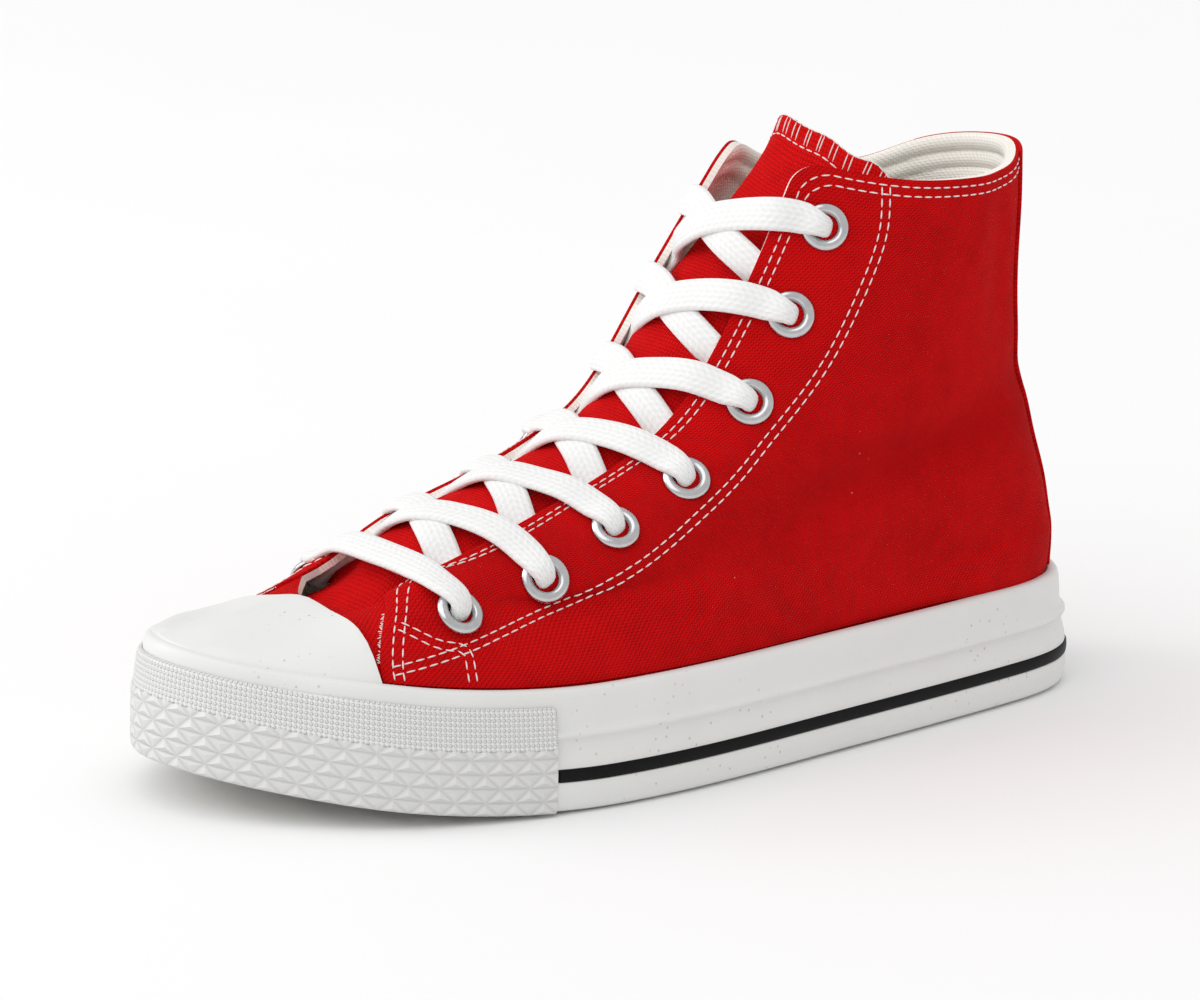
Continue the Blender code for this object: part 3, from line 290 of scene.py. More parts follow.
def band_level(side, inset, height):
    """Control points of a level along the outline: vamp columns, then quarter columns."""
    loop = outline_loop(inset)
    tip = loop[int(np.argmin(loop[:, 1]))]
    front = length_place(QUARTER_ROWS[0][1])
    back = float(loop[0, 1])
    heel = abs(float(outline_half(back - 0.5 * HEEL_HALF, side, inset)))
    ys = [length_place(place) for place in VAMP_BAND_PLACES]
    ys.append(front)
    ys.extend(front + (back - front) * share for share in SIDE_PLACES)
    ys.append(back - (1.0 - HEEL_ROUND) * heel)
    plan = [(tip[0], tip[1])]
    plan.extend((float(outline_half(y, side, inset)), y) for y in ys)
    plan.append((loop[0, 0], back))
    return np.array([(x, y, float(height(y))) for x, y in plan])


def quarter_points(row, side):
    """Control points of one quarter level, from its front edge to the heel."""
    edge_width, edge_place, edge_height, back_place, back_height = row[:5]
    widths = row[5:9]
    dip = row[9]
    front = length_place(edge_place)
    back = length_place(back_place)
    low = edge_height * COLLAR_HEIGHT
    high = back_height * COLLAR_HEIGHT
    fade = smooth_step(0.5 * (low + high) / MEDIAL_FADE)
    points = [(side * edge_width * BALL_HALF, front, low)]
    for share, width, medial in zip(SIDE_PLACES, widths, MEDIAL_SHARES):
        narrow = 1.0 if side > 0 else medial + (1.0 - medial) * fade
        bow = 4.0 * share * (1.0 - share)
        x = side * width * narrow * BALL_HALF
        y = front + (back - front) * share
        z = low + (high - low) * share + dip * bow * COLLAR_HEIGHT
        points.append((x, y, z))
    heel = widths[-1] * BALL_HALF
    points.append((side * HEEL_ROUND * heel, back - (1.0 - HEEL_ROUND) * heel, high))
    points.append((0.0, back, high))
    points = np.array(points)
    if side < 0:
        heights, shifts = zip(*MEDIAL_SLANT)
        points[:2, 1] += np.array([1.0, 0.5]) * np.interp(points[:2, 2], heights, shifts)
        away = abs(points[1, 2] - MEDIAL_SINK_HEIGHT) / MEDIAL_SINK_REACH
        points[1, 2] -= MEDIAL_SINK * (1.0 - smooth_step(away))
    share = smooth_step((points[:, 2] - RISE_START) / (COLLAR_HEIGHT - RISE_START))
    points[:, 2] += share * np.array(LATERAL_RISE if side > 0 else MEDIAL_RISE)
    return points


def vamp_points(row, band, side):
    """Control points of one vamp level, between the band line and the throat front."""
    share = row[0]
    points = []
    heights = (row[1], row[2], row[3]) if side > 0 else (row[1], row[4], row[5])
    for column, height in enumerate(heights):
        width, place = THROAT_FRONT[column]
        goal = np.array([side * width * BALL_HALF, length_place(place)])
        plan = band[column, :2] + (goal - band[column, :2]) * share
        points.append((plan[0], plan[1], height * COLLAR_HEIGHT))
    return np.array(points)


def feather_line(y):
    """Height of the upper's hidden lower edge."""
    return spring(y) + FEATHER_HEIGHT


def side_net(side):
    """Control levels of one side: closed over the toe, then open at the throat."""
    feather = band_level(side, FEATHER_INSET, feather_line)
    band = band_level(side, CANVAS_INSET, band_top)
    closed = [feather, band]
    for level, (vamp_row, quarter_row) in enumerate(zip(VAMP_ROWS, QUARTER_ROWS)):
        vamp = vamp_points(vamp_row, band, side)
        quarter = quarter_points(quarter_row, side)
        if level < len(EDGE_SHARES):
            quarter[0, 0] = band[VAMP_COLUMNS, 0] * EDGE_SHARES[level]
        if side < 0:
            drop = quarter_row[2] - MEDIAL_EDGE_HEIGHTS[level]
            quarter[0, 2] -= drop * COLLAR_HEIGHT
            quarter[1, 2] -= drop * COLLAR_HEIGHT * MEDIAL_EDGE_REACH
        closed.append(np.concatenate([vamp, quarter]))
    opened = [quarter_points(row, side) for row in QUARTER_ROWS[len(VAMP_ROWS):]]
    return closed, opened


def full_level(lateral, medial, steps, closed):
    """Fine points of a level round both sides."""
    loop = np.concatenate([lateral, medial[::-1][1:]])
    knots = chord_knots(loop)
    return spline(knots, loop, spread(knots, steps + steps[::-1]), closed=closed)


def upper_surface(column_steps, level_steps):
    """Outer surface of the upper: rows closed over the toe, rows open at the throat,
    and the column at which the quarters start."""
    closed_l, opened_l = side_net(1.0)
    closed_m, opened_m = side_net(-1.0)
    quarter_steps = column_steps[VAMP_COLUMNS:]
    edge = int(sum(column_steps[:VAMP_COLUMNS]))
    closed = np.array([full_level(a, b, column_steps, True)
                       for a, b in zip(closed_l, closed_m)])
    opened = np.array([full_level(a, b, quarter_steps, False)
                       for a, b in zip(opened_l, opened_m)])
    last = closed.shape[1] - edge
    tall = np.concatenate([closed[:, edge:last], opened])
    rise = np.linalg.norm(np.diff(tall, axis=0), axis=2).mean(axis=1)
    knots = np.concatenate([[0.0], np.cumsum(rise)])
    at = spread(knots, level_steps)
    tall_fine = spline(knots, tall, at)
    count = len(closed)
    low_rows = int(sum(level_steps[:count - 1])) + 1
    low_fine = spline(knots[:count], closed, at[:low_rows])
    low_fine[:, edge:last] = tall_fine[:low_rows]
    return low_fine, tall_fine[low_rows - 1:], edge


def surface_normals(vertices, faces):
    """Vertex normals of a quad surface, by area."""
    corners = vertices[faces]
    across = corners[:, 2] - corners[:, 0]
    along = corners[:, 3] - corners[:, 1]
    weight = np.cross(across, along)
    normals = np.zeros_like(vertices)
    for corner in range(faces.shape[1]):
        np.add.at(normals, faces[:, corner], weight)
    return unit(normals)


# Mesh steps of the surface that the throat, tongue, eyelets and laces are measured on
FINE_COLUMNS = (2, 2, 2, 10, 10, 6, 4, 3, 6)
FINE_LEVELS = (1, 2, 6, 8, 8, 10, 10, 8, 8, 8, 8)
TONGUE_STEPS = (1, 1, 1, 2, 2, 1, 1, 1)


def grid_faces(rows, columns, wrap_rows=False, wrap_columns=False):
    """Quads of a grid of points numbered row by row."""
    faces = []
    for row in range(rows if wrap_rows else rows - 1):
        for column in range(columns if wrap_columns else columns - 1):
            here = row * columns + column
            beside = row * columns + (column + 1) % columns
            above = ((row + 1) % rows) * columns + column
            corner = ((row + 1) % rows) * columns + (column + 1) % columns
            faces.append((here, beside, corner, above))
    return faces


def fine_quarters():
    """Dense surface of the quarters, its normals and the row at which the throat starts."""
    low, high, edge = upper_surface(FINE_COLUMNS, FINE_LEVELS)
    side = low[:, edge:low.shape[1] - edge]
    surface = np.concatenate([side[:-1], high])
    rows, columns = surface.shape[:2]
    quads = np.array(grid_faces(rows, columns))
    normals = surface_normals(surface.reshape(-1, 3), quads).reshape(surface.shape)
    return surface, normals, len(side) - 1


QUARTERS, QUARTER_NORMALS, THROAT_ROW = fine_quarters()
THROAT_EDGE = {1: QUARTERS[THROAT_ROW:, 0], -1: QUARTERS[THROAT_ROW:, -1]}
THROAT_LENGTH = chord_knots(THROAT_EDGE[1])[-1]


def throat_frame(along, side):
    """Point of the throat edge at a length from its front corner, and its direction."""
    edge = THROAT_EDGE[side]
    knots = chord_knots(edge)
    reach = 1.0 * MM
    places = np.clip([along - reach, along, along + reach], 0.0, knots[-1])
    back, point, front = spline(knots, edge, places)
    ahead = front - back
    return point, ahead / np.linalg.norm(ahead)


def beside_throat(along, distance, side):
    """Point of the quarter at a distance from the throat edge, and its outward normal."""
    edge, ahead = throat_frame(along, side)
    half = QUARTERS.shape[1] // 2
    block = (slice(None), slice(0, half)) if side > 0 else (slice(None), slice(-half, None))
    points = QUARTERS[block].reshape(-1, 3)
    normals = QUARTER_NORMALS[block].reshape(-1, 3)
    offset = points - edge
    forward = offset @ ahead
    miss = forward ** 2 + (np.linalg.norm(offset, axis=1) - distance) ** 2
    near = np.argsort(miss)[:4]
    weight = 1.0 / (np.sqrt(miss[near]) + 0.1 * MM)
    place = (weight / weight.sum()) @ points[near]
    around = np.exp(-np.sum((points - place) ** 2, axis=1) / EYELET_SEAT ** 2)
    normal = around @ normals
    return place, normal / np.linalg.norm(normal)


def eyelet_place(pair, side):
    """Centre and normal of an eyelet, its length along the throat and its distance from it."""
    share = (pair - 1) / (EYELET_PAIRS - 1)
    along = EYELET_FIRST + (THROAT_LENGTH - EYELET_LAST - EYELET_FIRST) * share
    distance = EYELET_IN_LOW + (EYELET_IN_TOP - EYELET_IN_LOW) * share
    point, normal = beside_throat(along, distance, side)
    return point, normal, along, distance


def outline_samples(shares):
    """Places and outward directions of the outline at shares of its length from the heel."""
    loop = outline_loop(0.0, OUTLINE_FINE)
    ring = np.concatenate([loop, loop[:1]])
    knots = chord_knots(ring)
    at = (np.asarray(shares) % 1.0) * knots[-1]
    ahead = np.roll(loop, -1, axis=0) - np.roll(loop, 1, axis=0)
    outward = np.stack([-ahead[:, 1], ahead[:, 0]], axis=1)
    outward = np.concatenate([outward, outward[:1]])
    return between(at, knots, ring), unit(between(at, knots, outward))


def throat_section(along):
    """Middle of the throat at a length, its direction, upward normal and half width."""
    lateral, ahead = throat_frame(along, 1)
    medial = throat_frame(along, -1)[0]
    middle = 0.5 * (lateral + medial)
    ahead = np.array([0.0, ahead[1], ahead[2]])
    ahead /= np.linalg.norm(ahead)
    normal = np.array([0.0, -ahead[2], ahead[1]])
    return middle, ahead, normal, 0.5 * abs(lateral[0] - medial[0])


def tongue_crown(along):
    """Height of the tongue's middle over the throat edges."""
    share = smooth_step((along + TONGUE_TUCK) / (TONGUE_DIP_END + TONGUE_TUCK))
    low = TONGUE_DROP + TONGUE_DIP
    return -low + (TONGUE_CROWN + low) * share


def tongue_line(along):
    """Fine points across the tongue's outer face at a length along the throat."""
    clamped = float(np.clip(along, 0.0, THROAT_LENGTH))
    middle, ahead, normal, half = throat_section(clamped)
    crown = tongue_crown(along)
    dip = TONGUE_DIP * (1.0 - smooth_step(along / TONGUE_DIP_END))
    depth = UPPER_WALL + 3.0 * FIT + dip
    drop = TONGUE_DROP + dip
    wings = {}
    for side in (1, -1):
        row = []
        for share in (1.0, 0.5):
            point, out = beside_throat(clamped, TONGUE_WING * share, side)
            row.append(point - out * depth)
        wings[side] = row
    width = np.array([1.0, 0.0, 0.0])
    near_rise = crown * TONGUE_NEAR_RISE - drop * (1.0 - TONGUE_NEAR_RISE)
    to_edge = width * half * TONGUE_EDGE_SHARE
    to_near = width * half * TONGUE_NEAR_SHARE
    edges = [middle + side * to_edge - normal * drop for side in (1, -1)]
    nears = [middle + side * to_near + normal * near_rise for side in (1, -1)]
    top = middle + normal * crown
    inside = [edges[1], nears[1], top, nears[0], edges[0]]
    row = np.array(wings[-1] + inside + wings[1][::-1])
    knots = chord_knots(row)
    fine = spline(knots, row, spread(knots, TONGUE_STEPS))
    beyond = along - clamped
    if beyond > 0.0:
        out = np.clip(np.abs(fine[:, 0]) / np.abs(fine[:, 0]).max(), 0.0, 1.0)
        reach = 1.0 - (1.0 - TONGUE_SHOULDER) * out ** 3
        fine = fine + ahead * beyond * reach[:, None]
    elif beyond < 0.0:
        fine = fine + ahead * beyond
    return fine


def tongue_row(along):
    """Points across the tongue's outer face, leaning back into the shaft at the top."""
    reach = TONGUE_LEAN_END - TONGUE_LEAN_START
    share = smooth_step((along - TONGUE_LEAN_START) / reach)
    row = tongue_line(along) + np.array(TONGUE_LEAN) * share
    row[:, 2] -= TONGUE_FALL * share * smooth_step(0.5 + 0.5 * row[:, 0] / TONGUE_FALL_WIDTH)
    return row


# Mesh steps of the dressed surface
DENSE_COLUMNS = (10, 8, 8, 14, 18, 20, 22, 16, 8)
DENSE_LEVELS = (6, 5, 5, 4, 6, 6, 8, 8, 8, 8, 16)

# Layers of the upper, as heights over the canvas's base surface
WALL_INSIDE = -1.6 * MM
PANEL_UNDER = 0.02 * MM
PANEL_OVER = 0.75 * MM
RIM_BEVEL = 0.3 * MM

# Length that one unit of the weave coordinates stands for
WEAVE_UNIT = 10.0 * MM


def deselect():
    """Nothing selected and no edit mode, before an operator runs."""
    if bpy.context.object and bpy.context.object.mode != "OBJECT":
        bpy.ops.object.mode_set(mode="OBJECT")
    bpy.ops.object.select_all(action="DESELECT")


def make_active(piece):
    """The piece selected alone and active."""
    deselect()
    piece.select_set(True)
    bpy.context.view_layer.objects.active = piece


def apply_bevel(piece, width, segments, degrees=50.0):
    """Soft rounded edges where faces meet sharply."""
    make_active(piece)
    bevel = piece.modifiers.new("soft edges", "BEVEL")
    bevel.width = width
    bevel.segments = segments
    bevel.limit_method = "ANGLE"
    bevel.angle_limit = math.radians(degrees)
    bevel.use_clamp_overlap = True
    bpy.ops.object.modifier_apply(modifier=bevel.name)


def finish_piece(piece, slot, *nodes, smooth=35.0):
    """Smooth shading, its place on the body and the solids it stands for; the slot argument is not
    used.
    """
    make_active(piece)
    bpy.ops.object.shade_smooth_by_angle(angle=math.radians(smooth))
    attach(piece, "root")
    if nodes:
        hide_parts(*nodes)
    deselect()
    return piece


def mesh_piece(name, vertices, faces, materials, kinds=None, uvs=None):
    """Object from points, faces, its materials, a material number a face and corner UVs."""
    mesh = bpy.data.meshes.new(name)
    mesh.from_pydata([tuple(map(float, point)) for point in vertices], [], faces)
    for material in materials:
        mesh.materials.append(material)
    if kinds is not None:
        mesh.polygons.foreach_set("material_index", list(kinds))
    if uvs is not None:
        layer = mesh.uv_layers.new(name="UVMap")
        corners = np.zeros(len(mesh.loops), dtype=np.int32)
        mesh.loops.foreach_get("vertex_index", corners)
        layer.data.foreach_set("uv", np.asarray(uvs, float)[corners].ravel())
    mesh.validate()
    mesh.update()
    piece = bpy.data.objects.new(name, mesh)
    bpy.context.scene.collection.objects.link(piece)
    return piece


def grid_uvs(surface):
    """Weave coordinates of a grid: lengths along its columns and rows, in weave units."""
    across = np.linalg.norm(np.diff(surface, axis=1), axis=2)
    along = np.linalg.norm(np.diff(surface, axis=0), axis=2)
    middle = surface.shape[1] // 2
    u = np.concatenate([np.zeros((surface.shape[0], 1)), np.cumsum(across, axis=1)], axis=1)
    u -= u[:, middle:middle + 1]
    v = np.concatenate([np.zeros((1, surface.shape[1])), np.cumsum(along, axis=0)], axis=0)
    v = np.repeat(v.mean(axis=1, keepdims=True), surface.shape[1], axis=1)
    return np.stack([u, v], axis=2) / WEAVE_UNIT


def face_outwards(piece):
    """Every face of the piece turned outwards."""
    make_active(piece)
    bpy.ops.object.mode_set(mode="EDIT")
    bpy.ops.mesh.select_all(action="SELECT")
    bpy.ops.mesh.normals_make_consistent(inside=False)
    bpy.ops.object.mode_set(mode="OBJECT")


def sheet_shell(name, surface, low, high, materials):
    """Closed cloth or rubber sheet between two heights over an open grid of points.

    materials are those of the upper face and, where given, of the lower face."""
    rows, columns = surface.shape[:2]
    base = surface.reshape(-1, 3)
    quads = np.array(grid_faces(rows, columns))
    normals = surface_normals(base, quads)
    count = len(base)
    vertices = np.concatenate([base + normals * high, base + normals * low])
    faces = [tuple(map(int, quad)) for quad in quads]
    kinds = [0] * len(faces)
    faces += [tuple(count + int(corner) for corner in quad[::-1]) for quad in quads]
    kinds += [len(materials) - 1] * len(quads)
    rim = list(range(columns))
    rim += [row * columns + columns - 1 for row in range(1, rows)]
    rim += [(rows - 1) * columns + column for column in range(columns - 2, -1, -1)]
    rim += [row * columns for row in range(rows - 2, 0, -1)]
    for here, beside in zip(rim, rim[1:] + rim[:1]):
        faces.append((beside, here, count + here, count + beside))
        kinds.append(0)
    uvs = grid_uvs(surface).reshape(-1, 2)
    return mesh_piece(name, vertices, faces, materials, kinds, np.concatenate([uvs, uvs]))


def face_profile(rows, y):
    """Profile rows in metres, with the heights scaled to the band's height at y."""
    scale = float(band_height(y)) / BAND_HEIGHT
    return [(inset * MM, height * MM * scale) for inset, height in rows]


def swept_piece(name, rows, shares, closed, material):
    """Piece carried along the sole's outline, its section given by insets and heights."""
    points, outward = outline_samples(shares)
    sections = []
    for place, out in zip(points, outward):
        section = []
        for inset, height in face_profile(rows, place[1]):
            flat = place - out * inset
            section.append((flat[0], flat[1], float(spring(place[1])) + height))
        sections.append(section)
    sections = np.array(sections)
    count, size = sections.shape[:2]
    faces = grid_faces(count, size, wrap_rows=closed, wrap_columns=True)
    faces = [tuple(map(int, face[::-1])) for face in faces]
    if not closed:
        faces.append(tuple(range(size))[::-1])
        faces.append(tuple((count - 1) * size + corner for corner in range(size)))
    along = chord_knots(points)
    if closed:
        along = np.abs(along - 0.5 * along[-1])
    uvs = np.stack(np.broadcast_arrays(along[:, None], sections[:, :, 2] - sections[:, :1, 2]),
                   axis=2) / WEAVE_UNIT
    piece = mesh_piece(name, sections.reshape(-1, 3), faces, [material], None,
                       uvs.reshape(-1, 2))
    face_outwards(piece)
    return piece


# Noise sizes, in cycles a metre
CLOTH_FINE = 1400.0
CLOTH_BROAD = 28.0
CLOTH_MOTTLE = 170.0
LINT_SPOTS = 190.0
LINT_PATCHES = 60.0
RUBBER_BROAD = 22.0
RUBBER_FINE = 900.0
DIRT_SPOTS = 380.0
DIRT_PATCHES = 35.0
LACE_FUZZ = 1600.0
THREAD_FUZZ = 2600.0
METAL_MARKS = 500.0
TREAD_BROAD = 30.0
FLOOR_GRAIN = 6.0

# Colours and reliefs
LINT_COLOUR = (0.75, 0.55, 0.52, 1.0)
DIRT_COLOUR = (0.30, 0.28, 0.24, 1.0)
BUMP_PITCH = 1.15 * MM
BUMP_LINE = 15.2 * MM
BUMP_BLEND = 0.2 * MM
PYRAMID_ROW = 3.3 * MM
PYRAMID_PITCH = 7.0 * MM
PYRAMID_SLOPE = 1.3
PYRAMID_FOOT = 2.6
BUMPER_EDGE = 25.4 * MM
BUMPER_EDGE_BLEND = 0.3 * MM
BRAID_PITCH = 1.9 * MM
BRAID_SLANT = 0.8
BRAID_RIB = 1.35 * MM
TREAD_ZIGZAG = 6.0 * MM
TREAD_PITCH = 4.2 * MM


class Number:
    """A number socket that takes part in Python expressions."""

    def __init__(self, finish, socket):
        self.finish = finish
        self.socket = socket

    def __add__(self, other):
        return self.finish.math("ADD", self, other)

    def __radd__(self, other):
        return self.finish.math("ADD", other, self)

    def __sub__(self, other):
        return self.finish.math("SUBTRACT", self, other)

    def __rsub__(self, other):
        return self.finish.math("SUBTRACT", other, self)

    def __mul__(self, other):
        return self.finish.math("MULTIPLY", self, other)

    def __rmul__(self, other):
        return self.finish.math("MULTIPLY", other, self)


class Finish:
    """One procedural material, with the short ways to add its nodes."""

    def __init__(self, name, constants):
        self.material = bpy.data.materials.new(name)
        self.material.use_nodes = True
        self.tree = self.material.node_tree
        self.shader = self.tree.nodes["Principled BSDF"]
        for socket, value in constants.items():
            self.shader.inputs[socket].default_value = value

    def node(self, kind, settings=None, sockets=None):
        """A node of a kind, with its settings first and then its sockets' values or links."""
        node = self.tree.nodes.new(kind)
        for key, value in (settings or {}).items():
            setattr(node, key, value)
        for key, value in (sockets or {}).items():
            self.put(node.inputs[key], value)
        return node

    def put(self, socket, value):
        """A value set on a socket, or another socket linked to it."""
        if isinstance(value, Number):
            value = value.socket
        if isinstance(value, bpy.types.NodeSocket):
            self.tree.links.new(value, socket)
        else:
            socket.default_value = value

    def math(self, operation, *values):
        """A Math node on numbers and sockets."""
        node = self.node("ShaderNodeMath", {"operation": operation}, dict(enumerate(values)))
        return Number(self, node.outputs[0])

    def limit(self, value, low, high):
        """A number mapped from low..high to 0..1 with soft ends."""
        settings = {"interpolation_type": "SMOOTHSTEP"}
        sockets = {"Value": value, "From Min": low, "From Max": high}
        node = self.node("ShaderNodeMapRange", settings, sockets)
        return Number(self, node.outputs["Result"])

    def weave_place(self):
        """Lengths across and along the cloth, in weave units."""
        uv = self.node("ShaderNodeUVMap", {"uv_map": "UVMap"})
        parts = self.node("ShaderNodeSeparateXYZ", None, {0: uv.outputs["UV"]})
        return Number(self, parts.outputs[0]), Number(self, parts.outputs[1])

    def object_place(self):
        """Place on the object, in metres."""
        return self.node("ShaderNodeTexCoord").outputs["Object"]

    def noise(self, place, scale, detail):
        """Soft random variation."""
        sockets = {"Vector": place, "Scale": scale, "Detail": detail}
        node = self.node("ShaderNodeTexNoise", {"noise_dimensions": "3D"}, sockets)
        return Number(self, node.outputs[0])

    def cells(self, place, scale):
        """Distance to random points."""
        node = self.node("ShaderNodeTexVoronoi", None, {"Vector": place, "Scale": scale})
        return Number(self, node.outputs["Distance"])

    def blend(self, factor, first, second):
        """Colour between two colours."""
        node = self.node("ShaderNodeMix", {"data_type": "RGBA"},
                         {"Factor": factor, 6: first, 7: second})
        return node.outputs[2]

    def colour(self, value):
        """Base colour of the shader."""
        self.put(self.shader.inputs["Base Color"], value)

    def rough(self, value):
        """Roughness of the shader."""
        self.put(self.shader.inputs["Roughness"], value)

    def relief(self, height, distance):
        """Fine height on the surface."""
        sockets = {"Height": height, "Distance": distance, "Strength": 1.0}
        bump = self.node("ShaderNodeBump", None, sockets)
        self.put(self.shader.inputs["Normal"], bump.outputs["Normal"])


def weave_height(finish, across, along, pitch, slant):
    """Threads over and under each other, straight or in slanted ribs."""
    step = math.pi * WEAVE_UNIT / pitch
    warp = finish.math("ABSOLUTE", finish.math("SINE", across * step))
    weft = finish.math("ABSOLUTE", finish.math("SINE", along * step))
    if slant:
        over = finish.math("SINE", (across + along) * step)
    else:
        over = finish.math("SINE", across * step) * finish.math("SINE", along * step)
    over = finish.limit(over, -0.35, 0.35)
    return warp * over + weft * (1.0 - over)


def cloth(name, light, dark, pitch, slant, relief, lint=0.0):
    """Woven cotton: threads with painted shade in the weave's hollows, soft random tone changes and
    a little lint.
    """
    finish = Finish(name, {"Roughness": 0.95, "Specular IOR Level": 0.08})
    across, along = finish.weave_place()
    threads = weave_height(finish, across, along, pitch, slant)
    body = finish.object_place()
    fine = finish.noise(body, CLOTH_FINE, 2.0)
    broad = finish.noise(body, CLOTH_BROAD, 3.0)
    mottle = finish.noise(body, CLOTH_MOTTLE, 2.0)
    # Partly painted shade: the threads' height darkens the weave's hollows; the noises add random
    # tone.
    shade = threads * 0.5 + fine * 0.3 + broad * 0.5 + mottle * 0.4
    colour = finish.blend(finish.limit(shade, 0.35, 1.25), dark, light)
    if lint:
        speck = 1.0 - finish.limit(finish.cells(body, LINT_SPOTS), 0.012, 0.05)
        speck = speck * finish.limit(finish.noise(body, LINT_PATCHES, 1.0), 0.58, 0.66)
        colour = finish.blend(speck * lint, colour, LINT_COLOUR)
    finish.colour(colour)
    finish.relief(threads * 0.8 + fine * 0.5, relief)
    return finish.material


def rubber(name, clean, soiled, gloss, roughness, specks):
    """Moulded rubber with a fine grain and small dirt specks."""
    finish = Finish(name, {"Specular IOR Level": gloss})
    body = finish.object_place()
    broad = finish.noise(body, RUBBER_BROAD, 4.0)
    fine = finish.noise(body, RUBBER_FINE, 2.0)
    colour = finish.blend(finish.limit(broad, 0.45, 0.85), clean, soiled)
    dot = 1.0 - finish.limit(finish.cells(body, DIRT_SPOTS), 0.07, 0.17)
    dot = dot * finish.limit(finish.noise(body, DIRT_PATCHES, 2.0), 0.50, 0.62)
    colour = finish.blend(dot * specks, colour, DIRT_COLOUR)
    finish.colour(colour)
    finish.rough(broad * 0.12 + (roughness - 0.06))
    finish.relief(fine + broad * 2.0, 0.04 * MM)
    return finish.material


def bumper_rubber():
    """White rubber with a grid of fine bumps above rows of small pyramids, and painted shade in the
    hollows between them.
    """
    finish = Finish("bumper_rubber", {"Specular IOR Level": 0.4})
    along, up = finish.weave_place()
    body = finish.object_place()
    broad = finish.noise(body, RUBBER_BROAD, 4.0)
    fine_step = 2.0 * math.pi * WEAVE_UNIT / BUMP_PITCH
    dots = finish.math("SINE", along * fine_step) * 0.25 + 0.25
    dots = dots + finish.math("SINE", up * fine_step) * 0.25 + 0.25
    dots = finish.limit(dots, 0.35, 0.95)
    row = up * (WEAVE_UNIT / PYRAMID_ROW)
    level = finish.math("FRACT", row)
    odd = finish.math("MODULO", finish.math("FLOOR", row), 2.0)
    shift = along * (WEAVE_UNIT / PYRAMID_PITCH) + odd * 0.5
    side = finish.math("ABSOLUTE", finish.math("FRACT", shift) - 0.5) * 2.0
    slant = side + level - 1.0
    upright = finish.math("LESS_THAN", slant, 0.0)
    foot = upright * level + (1.0 - upright) * (1.0 - level)
    pyramids = finish.math("MINIMUM", finish.math("ABSOLUTE", slant) * PYRAMID_SLOPE,
                           foot * PYRAMID_FOOT)
    above = finish.limit(up * WEAVE_UNIT, BUMP_LINE - BUMP_BLEND, BUMP_LINE + BUMP_BLEND)
    border = finish.limit(up * WEAVE_UNIT, BUMPER_EDGE, BUMPER_EDGE + BUMPER_EDGE_BLEND)
    height = pyramids * (1.0 - above) + (dots * 0.45 + 0.3) * above
    height = height * (1.0 - border)
    # Painted shade: the colour follows the relief's height, darker grey in the hollows between
    # bumps and pyramids and lighter on their tops.
    colour = finish.blend(finish.limit(height, 0.0, 0.4), (0.66, 0.655, 0.635, 1.0),
                          (0.77, 0.77, 0.755, 1.0))
    finish.colour(colour)
    finish.rough(broad * 0.15 + 0.42)
    finish.relief(height, 0.9 * MM)
    return finish.material


def lace_cotton():
    """White braided cotton: slanted threads meeting along the middle, with painted shade in the
    grooves between them.
    """
    finish = Finish("lace_cotton", {"Roughness": 0.95, "Sheen Weight": 0.25,
                                    "Specular IOR Level": 0.2})
    across, along = finish.weave_place()
    braid_step = 2.0 * math.pi * WEAVE_UNIT / BRAID_PITCH
    rib_step = 2.0 * math.pi * WEAVE_UNIT / BRAID_RIB
    sideways = finish.math("ABSOLUTE", across)
    braid = finish.math("SINE", (along + sideways * BRAID_SLANT) * braid_step)
    ribs = finish.math("SINE", across * rib_step)
    body = finish.object_place()
    fuzz = finish.noise(body, LACE_FUZZ, 3.0)
    height = braid * 0.16 + ribs * 0.22 + fuzz
    # Partly painted shade: the colour follows the braid's height, darker in its grooves, mixed with
    # random tone from the fuzz.
    colour = finish.blend(finish.limit(height, 0.0, 1.1), (0.80, 0.80, 0.79, 1.0),
                          (0.90, 0.90, 0.90, 1.0))
    finish.colour(colour)
    finish.relief(height, 0.16 * MM)
    return finish.material


def thread_cotton():
    """White sewing thread with its twist."""
    finish = Finish("thread_cotton", {"Roughness": 0.8, "Specular IOR Level": 0.3})
    body = finish.object_place()
    fuzz = finish.noise(body, THREAD_FUZZ, 2.0)
    finish.colour(finish.blend(fuzz, (0.72, 0.66, 0.62, 1.0), (0.86, 0.84, 0.82, 1.0)))
    finish.relief(fuzz, 0.1 * MM)
    return finish.material


def eyelet_metal():
    """Polished silver with fine handling marks."""
    finish = Finish("eyelet_metal", {"Metallic": 1.0})
    body = finish.object_place()
    marks = finish.noise(body, METAL_MARKS, 4.0)
    finish.colour(finish.blend(marks, (0.46, 0.46, 0.47, 1.0), (0.68, 0.68, 0.69, 1.0)))
    finish.rough(marks * 0.2 + 0.10)
    finish.relief(marks, 0.03 * MM)
    return finish.material


def tread_rubber():
    """Outsole rubber with zigzag ribs."""
    finish = Finish("tread_rubber", {"Specular IOR Level": 0.35})
    body = finish.object_place()
    parts = finish.node("ShaderNodeSeparateXYZ", None, {0: body})
    x = Number(finish, parts.outputs[0])
    y = Number(finish, parts.outputs[1])
    zigzag = finish.math("PINGPONG", x, TREAD_ZIGZAG)
    lines = finish.math("SINE", (y + zigzag) * (2.0 * math.pi / TREAD_PITCH))
    lines = finish.limit(lines, -0.3, 0.5)
    broad = finish.noise(body, TREAD_BROAD, 3.0)
    colour = finish.blend(broad, (0.60, 0.58, 0.53, 1.0), (0.78, 0.77, 0.73, 1.0))
    finish.colour(colour)
    finish.rough(broad * 0.2 + 0.45)
    finish.relief(lines, 0.6 * MM)
    return finish.material


